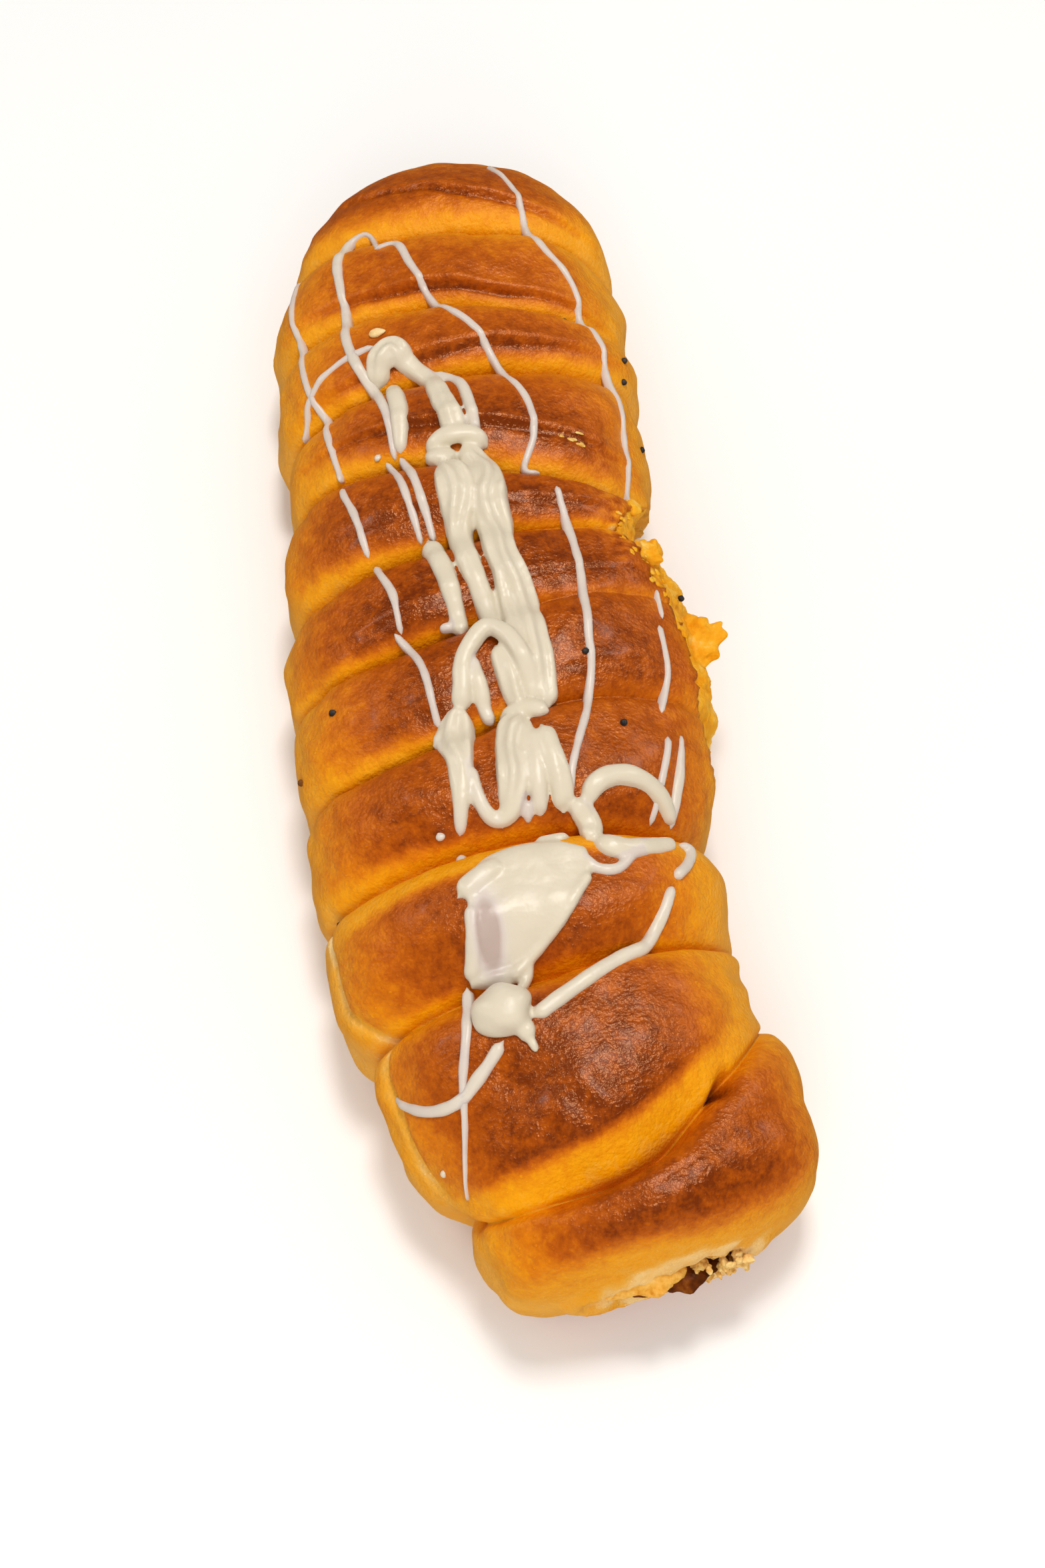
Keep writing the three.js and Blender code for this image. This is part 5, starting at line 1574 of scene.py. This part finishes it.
hue = start.add("ValToRGB", {"Fac": haze}, {"stops": FLOOR_STOPS})
close_finish(start, {"Base Color": hue, "Roughness": 0.7, "Specular IOR Level": 0.1})

# %% [markdown]
# ## Light
# Soft light falls on the roll from above and from the camera's side, and small bright sources glint in the
# egg wash. One lamp for both would be too strong for the colours. So even lamps, which no surface mirrors,
# give the soft light, and shine lamps, which show only in gloss, give the glints.

# %% Lamps
LAMP_TINT = (1.0, 0.97, 0.93)
LAMP_AIM = Vector((0, 0, 0.02))


def soft_light(name, place, size, power):
    """A square lamp at a place in metres, turned to face the roll."""
    data = bpy.data.lights.new(name, "AREA")
    data.size = size
    data.energy = power
    data.color = LAMP_TINT
    lamp = bpy.data.objects.new(name, data)
    lamp.location = place
    lamp.rotation_euler = (LAMP_AIM - Vector(place)).to_track_quat("-Z", "Y").to_euler()
    bpy.context.scene.collection.objects.link(lamp)
    return lamp


even_lamps = [
    soft_light("overhead", (0.05, 0.14, 0.80), 0.17, 3.3),
    soft_light("camera_fill", (-0.07, -0.60, 0.45), 0.45, 2.05),
]
shine_lamps = [
    soft_light("overhead_shine", (0.155, 0.08, 0.80), 0.29, 5.2),
    soft_light("right_lamp", (0.60, 0.25, 0.50), 0.10, 1.2),
    soft_light("left_lamp", (-0.55, 0.25, 0.55), 0.10, 1.2),
]
for lamp in even_lamps:
    lamp.visible_glossy = False
for lamp in shine_lamps:
    lamp.visible_diffuse = False
print("lamps:", [lamp.name for lamp in even_lamps + shine_lamps])

# %% [markdown]
# The rest of the room is a pale glow. Its strength could be one number, but the crust's gloss would then
# mirror a white room from every side. So the glow asks what kind of ray meets it: strong for the camera,
# weak in mirrors, and in between for soft light.

# %% World
CAMERA_RAY, GLOSSY_RAY = 0, 3
GLOW_SOFT, GLOW_SEEN, GLOW_MIRRORED = 0.52, 0.42, 0.47
world = bpy.data.worlds.new("pale_room")
world.use_nodes = True
world.node_tree.nodes.clear()
sky = Signal(world.node_tree)
seen = sky.add("LightPath", {}, output=CAMERA_RAY)
mirrored = sky.add("LightPath", {}, output=GLOSSY_RAY)
strength = seen * GLOW_SEEN - mirrored * GLOW_MIRRORED + GLOW_SOFT
glow = sky.add("Background", {"Color": (1.0, 0.98, 0.95, 1.0), "Strength": strength})
sky.add("OutputWorld", {"Surface": glow})
bpy.context.scene.world = world
bpy.context.scene.view_settings.view_transform = "Standard"
print("world nodes:", len(world.node_tree.nodes))

# %% [markdown]
# ## Camera
# The picture looks down on the roll from above its near end. The camera could be placed by hand, but
# a point to look at, a distance and two angles are easier to correct.

# %% Camera
CAMERA_AIM = Vector((-0.0010, -0.0246, 0.0200))
CAMERA_DISTANCE = 0.367
CAMERA_RISE, CAMERA_SWING = 62 * DEGREE, -8.67 * DEGREE
CAMERA_LENS, CAMERA_CLIP = 50.0, 0.01
level_reach = np.cos(CAMERA_RISE)
towards = Vector((
    np.sin(CAMERA_SWING) * level_reach, -np.cos(CAMERA_SWING) * level_reach, np.sin(CAMERA_RISE)))
camera_data = bpy.data.cameras.new("camera")
camera_data.lens = CAMERA_LENS
camera_data.clip_start = CAMERA_CLIP
camera = bpy.data.objects.new("camera", camera_data)
camera.location = CAMERA_AIM + towards * CAMERA_DISTANCE
camera.rotation_euler = (-towards).to_track_quat("-Z", "Y").to_euler()
bpy.context.scene.collection.objects.link(camera)
bpy.context.scene.camera = camera
print("camera at", [round(v, 4) for v in camera.location])
